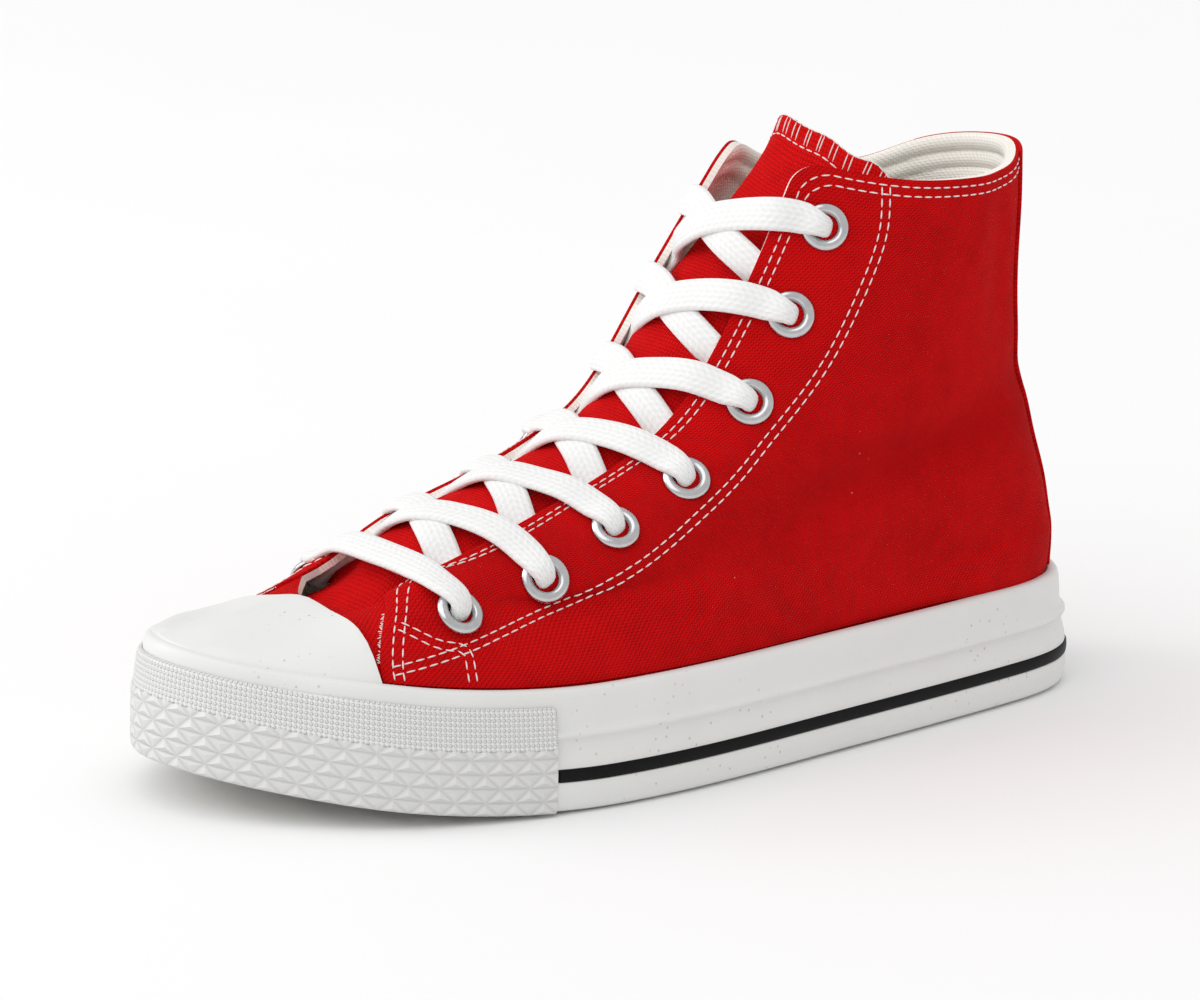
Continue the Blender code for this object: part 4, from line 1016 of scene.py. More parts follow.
def studio_floor():
    """Pale floor with a barely visible grain."""
    finish = Finish("studio_floor", {"Roughness": 0.9, "Specular IOR Level": 0.1})
    grain = finish.noise(finish.object_place(), FLOOR_GRAIN, 2.0)
    finish.colour(finish.blend(grain, (0.93, 0.93, 0.93, 1.0), (0.95, 0.95, 0.95, 1.0)))
    return finish.material


CANVAS = cloth("canvas", (0.62, 0.0035, 0.0045, 1.0), (0.32, 0.0012, 0.0020, 1.0),
               0.62 * MM, True, 0.20 * MM, 0.6)
TONGUE_CANVAS = cloth("tongue_canvas", (0.70, 0.0050, 0.0060, 1.0), (0.38, 0.0015, 0.0025, 1.0),
                      0.95 * MM, False, 0.30 * MM, 0.3)
LINING = cloth("cream_lining", (0.96, 0.93, 0.87, 1.0), (0.88, 0.84, 0.76, 1.0),
               0.70 * MM, True, 0.15 * MM)
FOOTBED = cloth("footbed_cloth", (0.80, 0.77, 0.70, 1.0), (0.62, 0.58, 0.50, 1.0),
                0.80 * MM, False, 0.15 * MM)
WHITE_RUBBER = rubber("white_rubber", (0.77, 0.77, 0.755, 1.0), (0.72, 0.715, 0.69, 1.0),
                      0.4, 0.42, 0.5)
BLACK_RUBBER = rubber("black_rubber", (0.002, 0.002, 0.0022, 1.0), (0.004, 0.004, 0.0045, 1.0),
                      0.15, 0.5, 0.02)
BUMPER_RUBBER = bumper_rubber()
TREAD_RUBBER = tread_rubber()
LACE_COTTON = lace_cotton()
THREAD_COTTON = thread_cotton()
EYELET_METAL = eyelet_metal()
FLOOR = studio_floor()


# Soft troughs in the canvas: half width, depth, then shares of the length and of the height
CREASES = {
    1: (
        (7.5 * MM, 3.6 * MM, ((0.420, 0.400), (0.320, 0.480), (0.220, 0.510), (0.105, 0.600))),
        (5.0 * MM, 1.8 * MM, ((0.160, 0.980), (0.155, 0.800), (0.150, 0.700))),
        (5.5 * MM, 1.8 * MM, ((0.300, 0.300), (0.200, 0.290), (0.120, 0.330))),
        (4.5 * MM, 1.2 * MM, ((0.560, 0.300), (0.640, 0.330), (0.720, 0.290))),
    ),
    -1: (
        (7.0 * MM, 1.4 * MM, ((0.390, 0.450), (0.280, 0.520), (0.150, 0.560))),
        (5.0 * MM, 0.6 * MM, ((0.190, 0.960), (0.200, 0.740))),
    ),
}
# Points along a trough, where its ends stop fading, and its fading in beside the middle
CREASE_POINTS = 40
CREASE_ENDS = (0.08, 0.92)
CREASE_SIDE = 8.0 * MM

# Radius of the two corners where the collar meets the throat
CORNER_ROUND = 6.0 * MM

# Rounds of easing of the toe, and the columns behind the quarters' front edge that it takes in
TOE_TURNS = 70
TOE_OVERLAP = 14


def creased(grid):
    """Rows of the upper with their soft troughs pressed in."""
    grid = grid.copy()
    for side, creases in CREASES.items():
        for reach, depth, rows in creases:
            knots = np.linspace(0.0, 1.0, len(rows))
            line = np.array([(length_place(place), height * COLLAR_HEIGHT)
                             for place, height in rows])
            fine = spline(knots, line, np.linspace(0.0, 1.0, CREASE_POINTS))
            away = np.linalg.norm(grid[..., None, 1:] - fine, axis=-1)
            nearest = away.argmin(axis=-1) / (CREASE_POINTS - 1)
            ends = np.sqrt(np.sin(np.pi * np.clip(nearest, *CREASE_ENDS)))
            press = depth * ends * np.exp(-(away.min(axis=-1) / reach) ** 2)
            on_this_side = smooth_step(side * grid[..., 0] / CREASE_SIDE)
            grid[..., 0] -= side * press * on_this_side
    return grid


def rounded(rows):
    """Open rows with their two top corners rounded off."""
    rows = rows.copy()
    for grid in (rows, rows[:, ::-1]):
        steps = np.diff(grid, axis=1)
        ahead = np.concatenate([steps, steps[:, -1:]], axis=1)
        across = np.zeros(grid.shape[:2])
        across[:, 1:] = np.linalg.norm(steps, axis=2).cumsum(axis=1)
        drops = np.diff(grid[::-1], axis=0)[::-1]
        down = np.concatenate([drops[:1], drops], axis=0)
        below = np.zeros(grid.shape[:2])
        below[:-1] = np.linalg.norm(drops, axis=2)[::-1].cumsum(axis=0)[::-1]
        from_side = np.clip(1.0 - across / CORNER_ROUND, 0.0, 1.0)
        from_top = np.clip(1.0 - below / CORNER_ROUND, 0.0, 1.0)
        move_ahead = CORNER_ROUND * from_side * (1.0 - np.sqrt(1.0 - 0.5 * from_top * from_top))
        move_down = CORNER_ROUND * from_top * (1.0 - np.sqrt(1.0 - 0.5 * from_side * from_side))
        grid += unit(ahead) * move_ahead[..., None] + unit(down) * move_down[..., None]
    return rows


def relaxed(rows, turns):
    """Grid with its inner points eased to the mean of their neighbours, its border kept."""
    rows = rows.copy()
    for _ in range(turns):
        beside = rows[1:-1, :-2] + rows[1:-1, 2:] + rows[:-2, 1:-1] + rows[2:, 1:-1]
        rows[1:-1, 1:-1] += 0.5 * (0.25 * beside - rows[1:-1, 1:-1])
    return rows


def smooth_toe(closed, edge, first, turns):
    """Closed rows with the toe, and the quarters' front ends, eased to a plain dome."""
    closed = closed.copy()
    front = np.concatenate([closed[-1, -1 - edge:-1], closed[-1, :edge + 1]])
    for _ in range(turns):
        front[1:-1] += 0.25 * (front[:-2] + front[2:] - 2.0 * front[1:-1])
    closed[-1, -1 - edge:-1] = front[:edge]
    closed[-1, :edge + 1] = front[edge:]
    edge = edge + TOE_OVERLAP
    last = closed.shape[1] - 1 - edge
    toe = np.concatenate([closed[first:, last:-1], closed[first:, :edge + 1]], axis=1)
    toe = relaxed(toe, turns)
    middle = closed.shape[1] - 1 - last
    closed[first:, last:-1] = toe[:, :middle]
    closed[first:, :edge + 1] = toe[:, middle:]
    closed[first:, -1] = closed[first:, 0]
    return closed


CLOSED_ROWS, OPEN_ROWS, EDGE_COLUMN = upper_surface(DENSE_COLUMNS, DENSE_LEVELS)
CLOSED_ROWS = creased(smooth_toe(CLOSED_ROWS, EDGE_COLUMN, DENSE_LEVELS[0], TOE_TURNS))
OPEN_ROWS = rounded(creased(OPEN_ROWS))

# Padded rolls inside the collar, and the soft lump over the heel
ROLL_HEIGHT = 4.3 * MM
ROLL_DEPTH = 1.1 * MM
ROLL_FULLNESS = 0.7
ROLL_START = 6.0 * MM
LUMP_DEPTH = 3.4 * MM
LUMP_PLACE = (4.0 * MM, 97.0 * MM, 119.0 * MM)
LUMP_REACH = (15.0 * MM, 12.0 * MM, 7.5 * MM)
RIPPLE_WIDTH = 2.6 * MM
RIPPLE_HEIGHT = 2.2 * MM
RIPPLE_TURN = 0.8
RIPPLE_SHARE = 0.22


def lining_depths():
    """Depth of the lining inside each point of the closed and open rows."""
    steps = np.linalg.norm(np.diff(OPEN_ROWS, axis=0), axis=2)
    below = np.zeros(OPEN_ROWS.shape[:2])
    below[:-1] = steps[::-1].cumsum(axis=0)[::-1]
    steps = np.linalg.norm(np.diff(OPEN_ROWS, axis=1), axis=2)
    inside = np.zeros(OPEN_ROWS.shape[:2])
    inside[:, 1:] = steps.cumsum(axis=1)
    inside = np.minimum(inside, inside[:, -1:] - inside)
    rolls = np.abs(np.sin(np.pi * below / ROLL_HEIGHT)) ** ROLL_FULLNESS
    rolls = np.where(below < 2.0 * ROLL_HEIGHT, rolls, 0.0)
    rolls = ROLL_DEPTH * rolls * smooth_step(inside / ROLL_START)
    away = (OPEN_ROWS - np.array(LUMP_PLACE)) / np.array(LUMP_REACH)
    ripple = np.sin(OPEN_ROWS[..., 0] / RIPPLE_WIDTH)
    ripple = ripple * np.sin(OPEN_ROWS[..., 2] / RIPPLE_HEIGHT + RIPPLE_TURN)
    lump = LUMP_DEPTH * np.exp(-(away ** 2).sum(axis=2)) * (1.0 + RIPPLE_SHARE * ripple)
    lump = lump * (below > 2.0 * ROLL_HEIGHT)
    closed = np.zeros(CLOSED_ROWS[:, :-1].shape[:2])
    depths = np.concatenate([closed.ravel(), (rolls + lump)[1:].ravel()])
    return WALL_INSIDE - depths


def make_upper_wall():
    """Whole wall of the upper, red outside and cream inside, with its collar and throat rims."""
    low = CLOSED_ROWS[:, :-1]
    rows, columns = low.shape[:2]
    width = OPEN_ROWS.shape[1]
    base = np.concatenate([low.reshape(-1, 3), OPEN_ROWS[1:].reshape(-1, 3)])
    low_count = rows * columns

    def index(row, column):
        if row < rows:
            return row * columns + column % columns
        return low_count + (row - rows) * width + column

    quads = [(index(r, c), index(r, c + 1), index(r + 1, c + 1), index(r + 1, c))
             for r in range(rows - 1) for c in range(columns)]
    for row in range(OPEN_ROWS.shape[0] - 1):
        for column in range(width - 1):
            if row == 0:
                here = index(rows - 1, EDGE_COLUMN + column)
                beside = index(rows - 1, EDGE_COLUMN + column + 1)
            else:
                here = index(rows - 1 + row, column)
                beside = index(rows - 1 + row, column + 1)
            quads.append((here, beside, index(rows + row, column + 1), index(rows + row, column)))
    quads = np.array(quads)
    normals = surface_normals(base, quads)
    count = len(base)
    vertices = np.concatenate([base, base + normals * lining_depths()[:, None]])
    faces = [tuple(map(int, quad)) for quad in quads]
    kinds = [0] * len(faces)
    faces += [tuple(count + int(corner) for corner in quad[::-1]) for quad in quads]
    kinds += [1] * len(quads)
    edges = set()
    for quad in quads:
        for start, end in zip(quad, np.roll(quad, -1)):
            edges.add((int(start), int(end)))
    for start, end in sorted(edges):
        if (end, start) not in edges:
            faces.append((end, start, count + start, count + end))
            kinds.append(1)
    closed_uv = grid_uvs(CLOSED_ROWS)[:, :-1].reshape(-1, 2)
    open_uv = grid_uvs(OPEN_ROWS)[1:].reshape(-1, 2)
    uvs = np.concatenate([closed_uv, open_uv])
    upper = mesh_piece("upper_wall", vertices, faces, [CANVAS, LINING], kinds,
                       np.concatenate([uvs, uvs]))
    return finish_piece(upper, "canvas", "upper")


def quarters_surface():
    """Base surface of both quarters, from the band line to the collar."""
    low = CLOSED_ROWS[DENSE_LEVELS[0]:-1, EDGE_COLUMN:CLOSED_ROWS.shape[1] - EDGE_COLUMN]
    return np.concatenate([low, OPEN_ROWS])


def quarter_grid(side):
    """Base surface of one quarter from the band line to the collar, front edge first."""
    surface = quarters_surface()
    half = surface.shape[1] // 2
    if side > 0:
        return surface[:, :half + 1]
    return surface[:, half:][:, ::-1]


def grid_normals(surface, side):
    """Outward normals of a quarter's grid."""
    quads = np.array(grid_faces(*surface.shape[:2]))
    normals = surface_normals(surface.reshape(-1, 3), quads).reshape(surface.shape)
    return normals * side


def make_quarter(side):
    """Outer canvas panel of one side, over the vamp at its front edge."""
    surface = quarter_grid(side)
    if side < 0:
        surface = surface[:, ::-1]
    word = "lateral" if side > 0 else "medial"
    panel = sheet_shell(f"quarter_{word}", surface, PANEL_UNDER, PANEL_OVER, [CANVAS])
    apply_bevel(panel, RIM_BEVEL, 2)
    return finish_piece(panel, "canvas")


def surface_tree():
    """Search tree of the whole dense base surface."""
    points = []
    faces = []
    for grid in (CLOSED_ROWS, OPEN_ROWS):
        start = len(points)
        points.extend(map(tuple, grid.reshape(-1, 3)))
        faces.extend(tuple(start + corner for corner in quad)
                     for quad in grid_faces(*grid.shape[:2]))
    return BVHTree.FromPolygons(points, faces)


SURFACE = surface_tree()


def on_side(place, height, side):
    """Point and outward normal of the upper at a share of the length and of the height."""
    start = Vector((SHOE_LENGTH, length_place(place), height * COLLAR_HEIGHT))
    point, normal, _, _ = SURFACE.ray_cast(start, Vector((-1.0, 0.0, 0.0)))
    if point is None:
        point, normal, _, _ = SURFACE.find_nearest(Vector((0.5 * BALL_HALF, start.y, start.z)))
    if side < 0:
        point, normal, _, _ = SURFACE.find_nearest(Vector((-point.x, point.y, point.z)))
    if normal.x * side < 0.0:
        normal = -normal
    return np.array(point), np.array(normal)


def seam_line(points, normals, step):
    """Evenly spaced places along a seam, with its direction and normal there."""
    points = np.asarray(points, float)
    normals = np.asarray(normals, float)
    knots = chord_knots(points)
    count = max(2, int(round(knots[-1] / step)))
    at = (np.arange(count) + 0.5) * knots[-1] / count
    line = spline(knots, points, at)
    ahead = spline(knots, points, at + 0.1 * MM) - spline(knots, points, at - 0.1 * MM)
    return line, unit(ahead), unit(between(at, knots, normals))


def laid_seam(points, normals, step):
    """Places along a seam, each laid on the base surface with the surface's normal."""
    line, ahead, up = seam_line(points, normals, step)
    for number, place in enumerate(line):
        point, normal, _, _ = SURFACE.find_nearest(Vector(place))
        normal = np.array(normal) * np.sign(np.dot(normal, up[number]))
        direction = ahead[number] - normal * (ahead[number] @ normal)
        line[number] = point
        ahead[number] = direction / np.linalg.norm(direction)
        up[number] = normal
    return line, ahead, up


def side_seam(rows, side, step, shift):
    """Seam through named places on one side of the upper, moved sideways by a shift."""
    found = [on_side(place, height, side) for place, height in rows]
    points = np.array([point for point, _ in found])
    normals = np.array([normal for _, normal in found])
    knots = chord_knots(points)
    fine = np.linspace(0.0, knots[-1], 8 * len(points))
    points = spline(knots, points, fine)
    normals = between(fine, knots, normals)
    across = unit(np.cross(normals, np.gradient(points, axis=0)))
    return laid_seam(points + across * shift * side, normals, step)


def inset_seam(grid, normals, distance, first, last, along_rows):
    """Seam at a distance inside a grid's first column, or inside its last row."""
    if not along_rows:
        grid = np.swapaxes(grid, 0, 1)[:, ::-1]
        normals = np.swapaxes(normals, 0, 1)[:, ::-1]
    points = []
    ups = []
    for line, up in zip(grid, normals):
        knots = chord_knots(line)
        points.append(between(distance, knots, line))
        ups.append(between(distance, knots, up))
    points = np.array(points)
    ups = np.array(ups)
    knots = chord_knots(points)
    at = np.linspace(first, knots[-1] - last, len(points))
    return spline(knots, points, at), between(at, knots, ups)


def stitch_model(length, thickness):
    """One bead of sewing thread along X, bowed upwards: its points and faces."""
    deselect()
    bpy.ops.mesh.primitive_uv_sphere_add(segments=BEAD_SIDES, ring_count=BEAD_RINGS, radius=0.5,
                                         rotation=(0.0, 0.5 * math.pi, 0.0))
    bead = bpy.context.object
    bpy.ops.object.transform_apply(location=False, rotation=True, scale=False)
    bpy.ops.transform.resize(value=(length, thickness, thickness))
    bpy.ops.object.transform_apply(location=False, rotation=False, scale=True)
    points = np.array([vertex.co for vertex in bead.data.vertices])
    faces = [tuple(face.vertices) for face in bead.data.polygons]
    share = 2.0 * points[:, 0] / length
    points[:, 2] += thickness * (BEAD_BOW * (1.0 - share * share) - BEAD_SINK)
    mesh = bead.data
    bpy.data.objects.remove(bead)
    bpy.data.meshes.remove(mesh)
    return points, faces


def stitch_mesh(name, seams, lift, length, thickness):
    """Copies of one stitch laid along seams."""
    bead, bead_faces = stitch_model(length, thickness)
    vertices = []
    faces = []
    for line, ahead, up in seams:
        for place, direction, normal in zip(line, ahead, up):
            across = np.cross(normal, direction)
            start = len(vertices)
            axes = np.array([direction, across, normal])
            vertices.extend(place + normal * lift + bead @ axes)
            faces.extend(tuple(start + corner for corner in face) for face in bead_faces)
    return mesh_piece(name, vertices, faces, [THREAD_COTTON])


# Sewing
BEAD_SIDES = 6
BEAD_RINGS = 5
BEAD_BOW = 0.55
BEAD_SINK = 0.35
STITCH_STEP = 2.7 * MM
STITCH_LENGTH = 2.35 * MM
THREAD_WIDTH = 0.38 * MM
THREAD_SMOOTH = 60.0
ROW_GAP = 1.9 * MM
THROAT_ROWS = (2.9 * MM, 5.0 * MM)
COLLAR_ROWS = (1.8 * MM, 4.0 * MM)
FRONT_ROWS = (2.8 * MM, 5.0 * MM)
SEAM_ROUND = 4.5 * MM
SEAM_START = 0.5 * MM
SEAM_SPACE = 1.2 * MM

# Loose thread ends along the front edge of the quarters
FRAY_STEP = 0.5 * MM
FRAY_LENGTH = 1.5 * MM
FRAY_WIDTH = 0.30 * MM
FRAY_LIFT = 0.35 * MM
FRAY_SCATTER = 0.3
FRAY_ROWS_BELOW = 3
FRAY_ROWS_ABOVE = 2
LOOSE_ENDS = np.random.default_rng(7)

# Long seam from the collar to the toe cap: share of the length, share of the height
LONG_SEAM = (
    (0.296, 0.981),
    (0.303, 0.903),
    (0.318, 0.836),
    (0.340, 0.762),
    (0.363, 0.696),
    (0.396, 0.624),
    (0.432, 0.562),
    (0.469, 0.506),
    (0.518, 0.450),
    (0.575, 0.392),
    (0.629, 0.350),
    (0.683, 0.320),
    (0.739, 0.298),
    (0.775, 0.282),
    (0.812, 0.267),
    (0.837, 0.257),
)
# Short slanting seam behind the front edge, down to the side band
SHORT_SEAM = (
    (0.819, 0.322),
    (0.804, 0.306),
    (0.788, 0.292),
    (0.771, 0.281),
    (0.770, 0.255),
    (0.771, 0.232),
)


def make_stitching(side):
    """All seams of one side: throat, collar, front edge, long seam and slanting seam."""
    word = "lateral" if side > 0 else "medial"
    grid = quarter_grid(side)
    normals = grid_normals(grid, side)
    throat_row = sum(DENSE_LEVELS[1:4])
    seams = []
    for throat, collar, front in zip(THROAT_ROWS, COLLAR_ROWS, FRONT_ROWS):
        rising, rising_up = inset_seam(grid[throat_row:], normals[throat_row:], throat,
                                       throat, collar, True)
        round_top, round_up = inset_seam(grid[throat_row:], normals[throat_row:], collar,
                                         throat, 0.0, False)
        edge, edge_up = inset_seam(grid[:throat_row + 1], normals[:throat_row + 1], front,
                                   SEAM_START, front, True)
        points = np.concatenate([edge, rising[1:], round_top[1:]])
        ups = np.concatenate([edge_up, rising_up[1:], round_up[1:]])
        corner = rising[-1]
        keep = [0]
        for number in range(1, len(points)):
            apart = np.linalg.norm(points[number] - points[keep[-1]]) > SEAM_SPACE
            if apart and np.linalg.norm(points[number] - corner) > SEAM_ROUND:
                keep.append(number)
        seams.append(laid_seam(points[keep], ups[keep], STITCH_STEP))
    for shift in (-0.5 * ROW_GAP, 0.5 * ROW_GAP):
        seams.append(side_seam(LONG_SEAM, side, STITCH_STEP, shift))
        seams.append(side_seam(SHORT_SEAM, side, STITCH_STEP, shift))
    piece = stitch_mesh(f"stitching_{word}", seams, PANEL_OVER, STITCH_LENGTH, THREAD_WIDTH)
    finish_piece(piece, "white_cotton", smooth=THREAD_SMOOTH)
    rows = slice(FRAY_ROWS_BELOW, throat_row - FRAY_ROWS_ABOVE)
    along, ahead, up = seam_line(grid[rows, 0], normals[rows, 0], FRAY_STEP)
    lean = LOOSE_ENDS.uniform(-1.0, 1.0, (len(ahead), 1))
    scatter = LOOSE_ENDS.uniform(-FRAY_SCATTER, FRAY_SCATTER, (len(ahead), 1))
    across = np.cross(up, ahead)
    ahead = unit(across + lean * ahead)
    fray = stitch_mesh(f"frayed_edge_{word}", [(along + across * scatter * MM, ahead, up)],
                       FRAY_LIFT, FRAY_LENGTH, FRAY_WIDTH)
    return finish_piece(fray, "white_cotton", smooth=THREAD_SMOOTH)


# Toe cap
CAP_UNDER = 0.05 * MM
CAP_OVER = 2.0 * MM
CAP_BEVEL = 0.6 * MM


def make_toe_cap():
    """Smooth rubber cap over the vamp, ending in a thin edge behind."""
    rows = CLOSED_ROWS[DENSE_LEVELS[0] - 2:]
    last = EDGE_COLUMN + TOE_OVERLAP
    lateral = rows[:, :last + 1]
    medial = rows[:, rows.shape[1] - 1 - last:-1]
    patch = np.concatenate([medial, lateral], axis=1)
    cap = sheet_shell("toe_cap_rubber", patch, CAP_UNDER, CAP_OVER, [WHITE_RUBBER])
    make_active(cap)
    bpy.ops.object.mode_set(mode="EDIT")
    bpy.ops.mesh.select_all(action="SELECT")
    bpy.ops.mesh.bisect(plane_co=(0.0, length_place(CAP_REAR), 0.0), plane_no=(0.0, 1.0, 0.0),
                        use_fill=True, clear_outer=True)
    bpy.ops.object.mode_set(mode="OBJECT")
    apply_bevel(cap, CAP_BEVEL, 3)
    return finish_piece(cap, "white_rubber", "toe_cap")


# Side band, stripe and bumper
BAND_SECTIONS = 300
STRIPE_SECTIONS = 240
STRIPE_GAP = 0.001
BAND_SMOOTH = 40.0
BUMPER_BEVEL = 0.25 * MM
# Sections of the three: inset from the outline and height over the sole, in millimetres
BAND_FACE = (
    (2.6, 0.5), (1.2, 0.7), (0.5, 1.3), (0.15, 2.6), (0.0, 5.0), (0.0, 7.3), (0.2, 7.55),
    (1.2, 7.6), (1.2, 10.6), (0.35, 10.65), (0.3, 10.9), (0.5, 12.4), (1.05, 14.4),
    (1.45, 15.8), (1.55, 16.5), (1.35, 17.1), (0.8, 17.6), (0.55, 18.1), (0.6, 18.6),
    (1.0, 19.0), (1.6, 19.4), (1.95, 20.2), (2.2, 23.6), (2.45, 26.4), (2.75, 27.6), (3.3, 28.25),
    (4.2, 28.45), (5.2, 28.3), (5.75, 27.4), (2.8, 2.0),
)
STRIPE_SECTION = (
    (1.25, 7.65), (0.15, 7.68), (-0.1, 7.95), (-0.2, 8.6), (-0.22, 9.4), (-0.15, 10.1),
    (0.1, 10.5), (1.25, 10.55),
)
BUMPER_FACE = (
    (0.9, 0.3), (0.2, 0.5), (-0.35, 1.3), (-0.5, 2.5), (-0.5, 9.0), (-0.4, 15.4), (-0.2, 16.0),
    (0.0, 16.5), (0.25, 18.0), (0.9, 23.2), (1.15, 24.2), (1.5, 24.7), (2.0, 24.8), (2.3, 24.6),
    (1.8, 19.0), (1.0, 16.0), (1.0, 0.6),
)


def bumper_ends():
    """Shares of the outline's length at the two ends of the bumper."""
    loop = outline_loop(0.0, OUTLINE_FINE)
    ring = np.concatenate([loop, loop[:1]])
    knots = chord_knots(ring) / chord_knots(ring)[-1]
    tip = int(np.argmin(ring[:, 1]))
    y = length_place(BUMPER_END)
    lateral = float(np.interp(-y, -ring[:tip + 1, 1], knots[:tip + 1]))
    medial = float(np.interp(y, ring[tip:, 1], knots[tip:]))
    return lateral, medial


def make_side_band():
    """White rubber band round the sole, with its ledges and the groove of the stripe."""
    shares = np.arange(BAND_SECTIONS) / BAND_SECTIONS
    band = swept_piece("foxing_band", BAND_FACE, shares, True, WHITE_RUBBER)
    return finish_piece(band, "white_rubber", "side_band", smooth=BAND_SMOOTH)


def make_stripe():
    """Black stripe from one end of the bumper round the heel to the other."""
    lateral, medial = bumper_ends()
    shares = np.linspace(medial - 1.0 + STRIPE_GAP, lateral - STRIPE_GAP, STRIPE_SECTIONS)
    stripe = swept_piece("stripe", STRIPE_SECTION, shares, False, BLACK_RUBBER)
    return finish_piece(stripe, "black_rubber", "black_stripe")


def make_bumper():
    """Patterned rubber strip round the toe."""
    lateral, medial = bumper_ends()
    shares = np.linspace(lateral, medial, STRIPE_SECTIONS)
    bumper = swept_piece("bumper", BUMPER_FACE, shares, False, BUMPER_RUBBER)
    apply_bevel(bumper, BUMPER_BEVEL, 2, 60.0)
    return finish_piece(bumper, "white_rubber", "toe_bumper", smooth=BAND_SMOOTH)


# Heel strip
STRIP_HALF_TOP = 22.0 * MM
STRIP_HALF_FOOT = 15.0 * MM
STRIP_UNDER = 0.7 * MM
STRIP_OVER = 1.7 * MM
STRIP_BEVEL = 0.25 * MM
STRIP_COLUMNS = 25


def make_heel_strip():
    """Canvas strip over the back seam, wider at the top."""
    surface = quarters_surface()
    middle = surface.shape[1] // 2
    patch = []
    for line in surface:
        knots = chord_knots(line)
        rise = line[middle, 2] / COLLAR_HEIGHT
        half = STRIP_HALF_FOOT + (STRIP_HALF_TOP - STRIP_HALF_FOOT) * smooth_step(rise)
        at = knots[middle] + np.linspace(-half, half, STRIP_COLUMNS)
        patch.append(between(at, knots, line))
    strip = sheet_shell("back_strip", np.array(patch), STRIP_UNDER, STRIP_OVER, [CANVAS])
    apply_bevel(strip, STRIP_BEVEL, 2)
    return finish_piece(strip, "canvas", "heel_strip")


# Tongue
TONGUE_THICKNESS = 1.8 * MM
TONGUE_BEVEL = 0.35 * MM
TONGUE_ROWS = 60
TONGUE_TOP_ROWS = 10
TONGUE_COLUMNS = 41
RUNG_PAIR_STEP = 4.4 * MM
RUNG_GAP = 1.3 * MM
RUNG_LENGTH = 4.8 * MM
RUNG_WIDTH = 0.32 * MM
RUNG_SCATTER = 0.4
OVERCAST_STEP = 2.2 * MM


def tongue_patch():
    """Fine grid of the tongue's outer face."""
    places = np.concatenate([
        [-TONGUE_TUCK],
        np.linspace(0.0, THROAT_LENGTH, TONGUE_ROWS),
        THROAT_LENGTH + TONGUE_ABOVE * np.linspace(0.1, 1.0, TONGUE_TOP_ROWS),
    ])
    rows = []
    for along in places:
        row = tongue_row(along)
        knots = chord_knots(row)
        rows.append(spline(knots, row, np.linspace(0.0, knots[-1], TONGUE_COLUMNS)))
    return np.array(rows)


def make_tongue():
    """Canvas tongue with its sewn top edge."""
    patch = tongue_patch()
    tongue = sheet_shell("tongue_cloth", patch, -TONGUE_THICKNESS, 0.0, [TONGUE_CANVAS, LINING])
    apply_bevel(tongue, TONGUE_BEVEL, 2)
    finish_piece(tongue, "tongue_canvas", "tongue")
    sew_tongue(patch)


def sew_tongue(patch):
    """Overcast stitches and two straight rows along the tongue's top edge."""
    normals = surface_normals(patch.reshape(-1, 3), np.array(grid_faces(*patch.shape[:2])))
    normals = normals.reshape(patch.shape)
    top = patch[-1]
    into = patch[-4] - top
    ups = normals[-1]
    knots = chord_knots(top)
    count = int(knots[-1] / RUNG_PAIR_STEP)
    pairs = (np.arange(count) + 0.5) * knots[-1] / count
    at = np.sort(np.concatenate([pairs - 0.5 * RUNG_GAP, pairs + 0.5 * RUNG_GAP]))
    at += LOOSE_ENDS.uniform(-RUNG_SCATTER, RUNG_SCATTER, len(at)) * MM
    down = unit(between(at, knots, into))
    middles = between(at, knots, top) + down * 0.45 * RUNG_LENGTH
    rungs = (middles, down, between(at, knots, ups))
    edge = seam_line(top[::2], ups[::2], OVERCAST_STEP)
    foot = seam_line((top + unit(into) * RUNG_LENGTH)[::2], ups[::2], STITCH_STEP)
    rung_piece = stitch_mesh("tongue_rungs", [rungs], 0.0, RUNG_LENGTH, RUNG_WIDTH)
    finish_piece(rung_piece, "white_cotton", smooth=THREAD_SMOOTH)
    edge_piece = stitch_mesh("tongue_overcast", [edge, foot], 0.0, STITCH_LENGTH, THREAD_WIDTH)
    return finish_piece(edge_piece, "white_cotton", smooth=THREAD_SMOOTH)


# Insole
INSOLE_INSET = 7.9 * MM
INSOLE_LIFT = 4.0 * MM
INSOLE_END_GAP = 0.3 * MM
INSOLE_DISH = 1.2 * MM
INSOLE_THICKNESS = 2.6 * MM
INSOLE_ROWS = 60
INSOLE_COLUMNS = 21


def make_insole():
    """Cloth footbed, slightly dished."""
    loop = outline_loop(INSOLE_INSET)
    middle = 0.5 * (loop[:, 1].min() + loop[:, 1].max())
    half = 0.5 * (loop[:, 1].max() - loop[:, 1].min()) - INSOLE_END_GAP
    ys = middle + half * np.sin(np.linspace(-0.5 * np.pi, 0.5 * np.pi, INSOLE_ROWS))
    rows = []
    for y in ys:
        x_lateral = float(outline_half(y, 1, INSOLE_INSET))
        x_medial = float(outline_half(y, -1, INSOLE_INSET))
        turns = np.linspace(-0.5 * np.pi, 0.5 * np.pi, INSOLE_COLUMNS)
        shares = np.sin(turns) * 0.5 + 0.5
        xs = x_medial + (x_lateral - x_medial) * shares
        dish = INSOLE_DISH * (4.0 * shares * (1.0 - shares)) ** 0.5
        height = float(spring(y)) + FEATHER_HEIGHT + INSOLE_LIFT - dish
        rows.append(np.stack([xs, np.full(INSOLE_COLUMNS, y), height], axis=1))
    insole = sheet_shell("footbed", np.array(rows), -INSOLE_THICKNESS, 0.0, [FOOTBED])
    return finish_piece(insole, "cream_cloth", "insole")


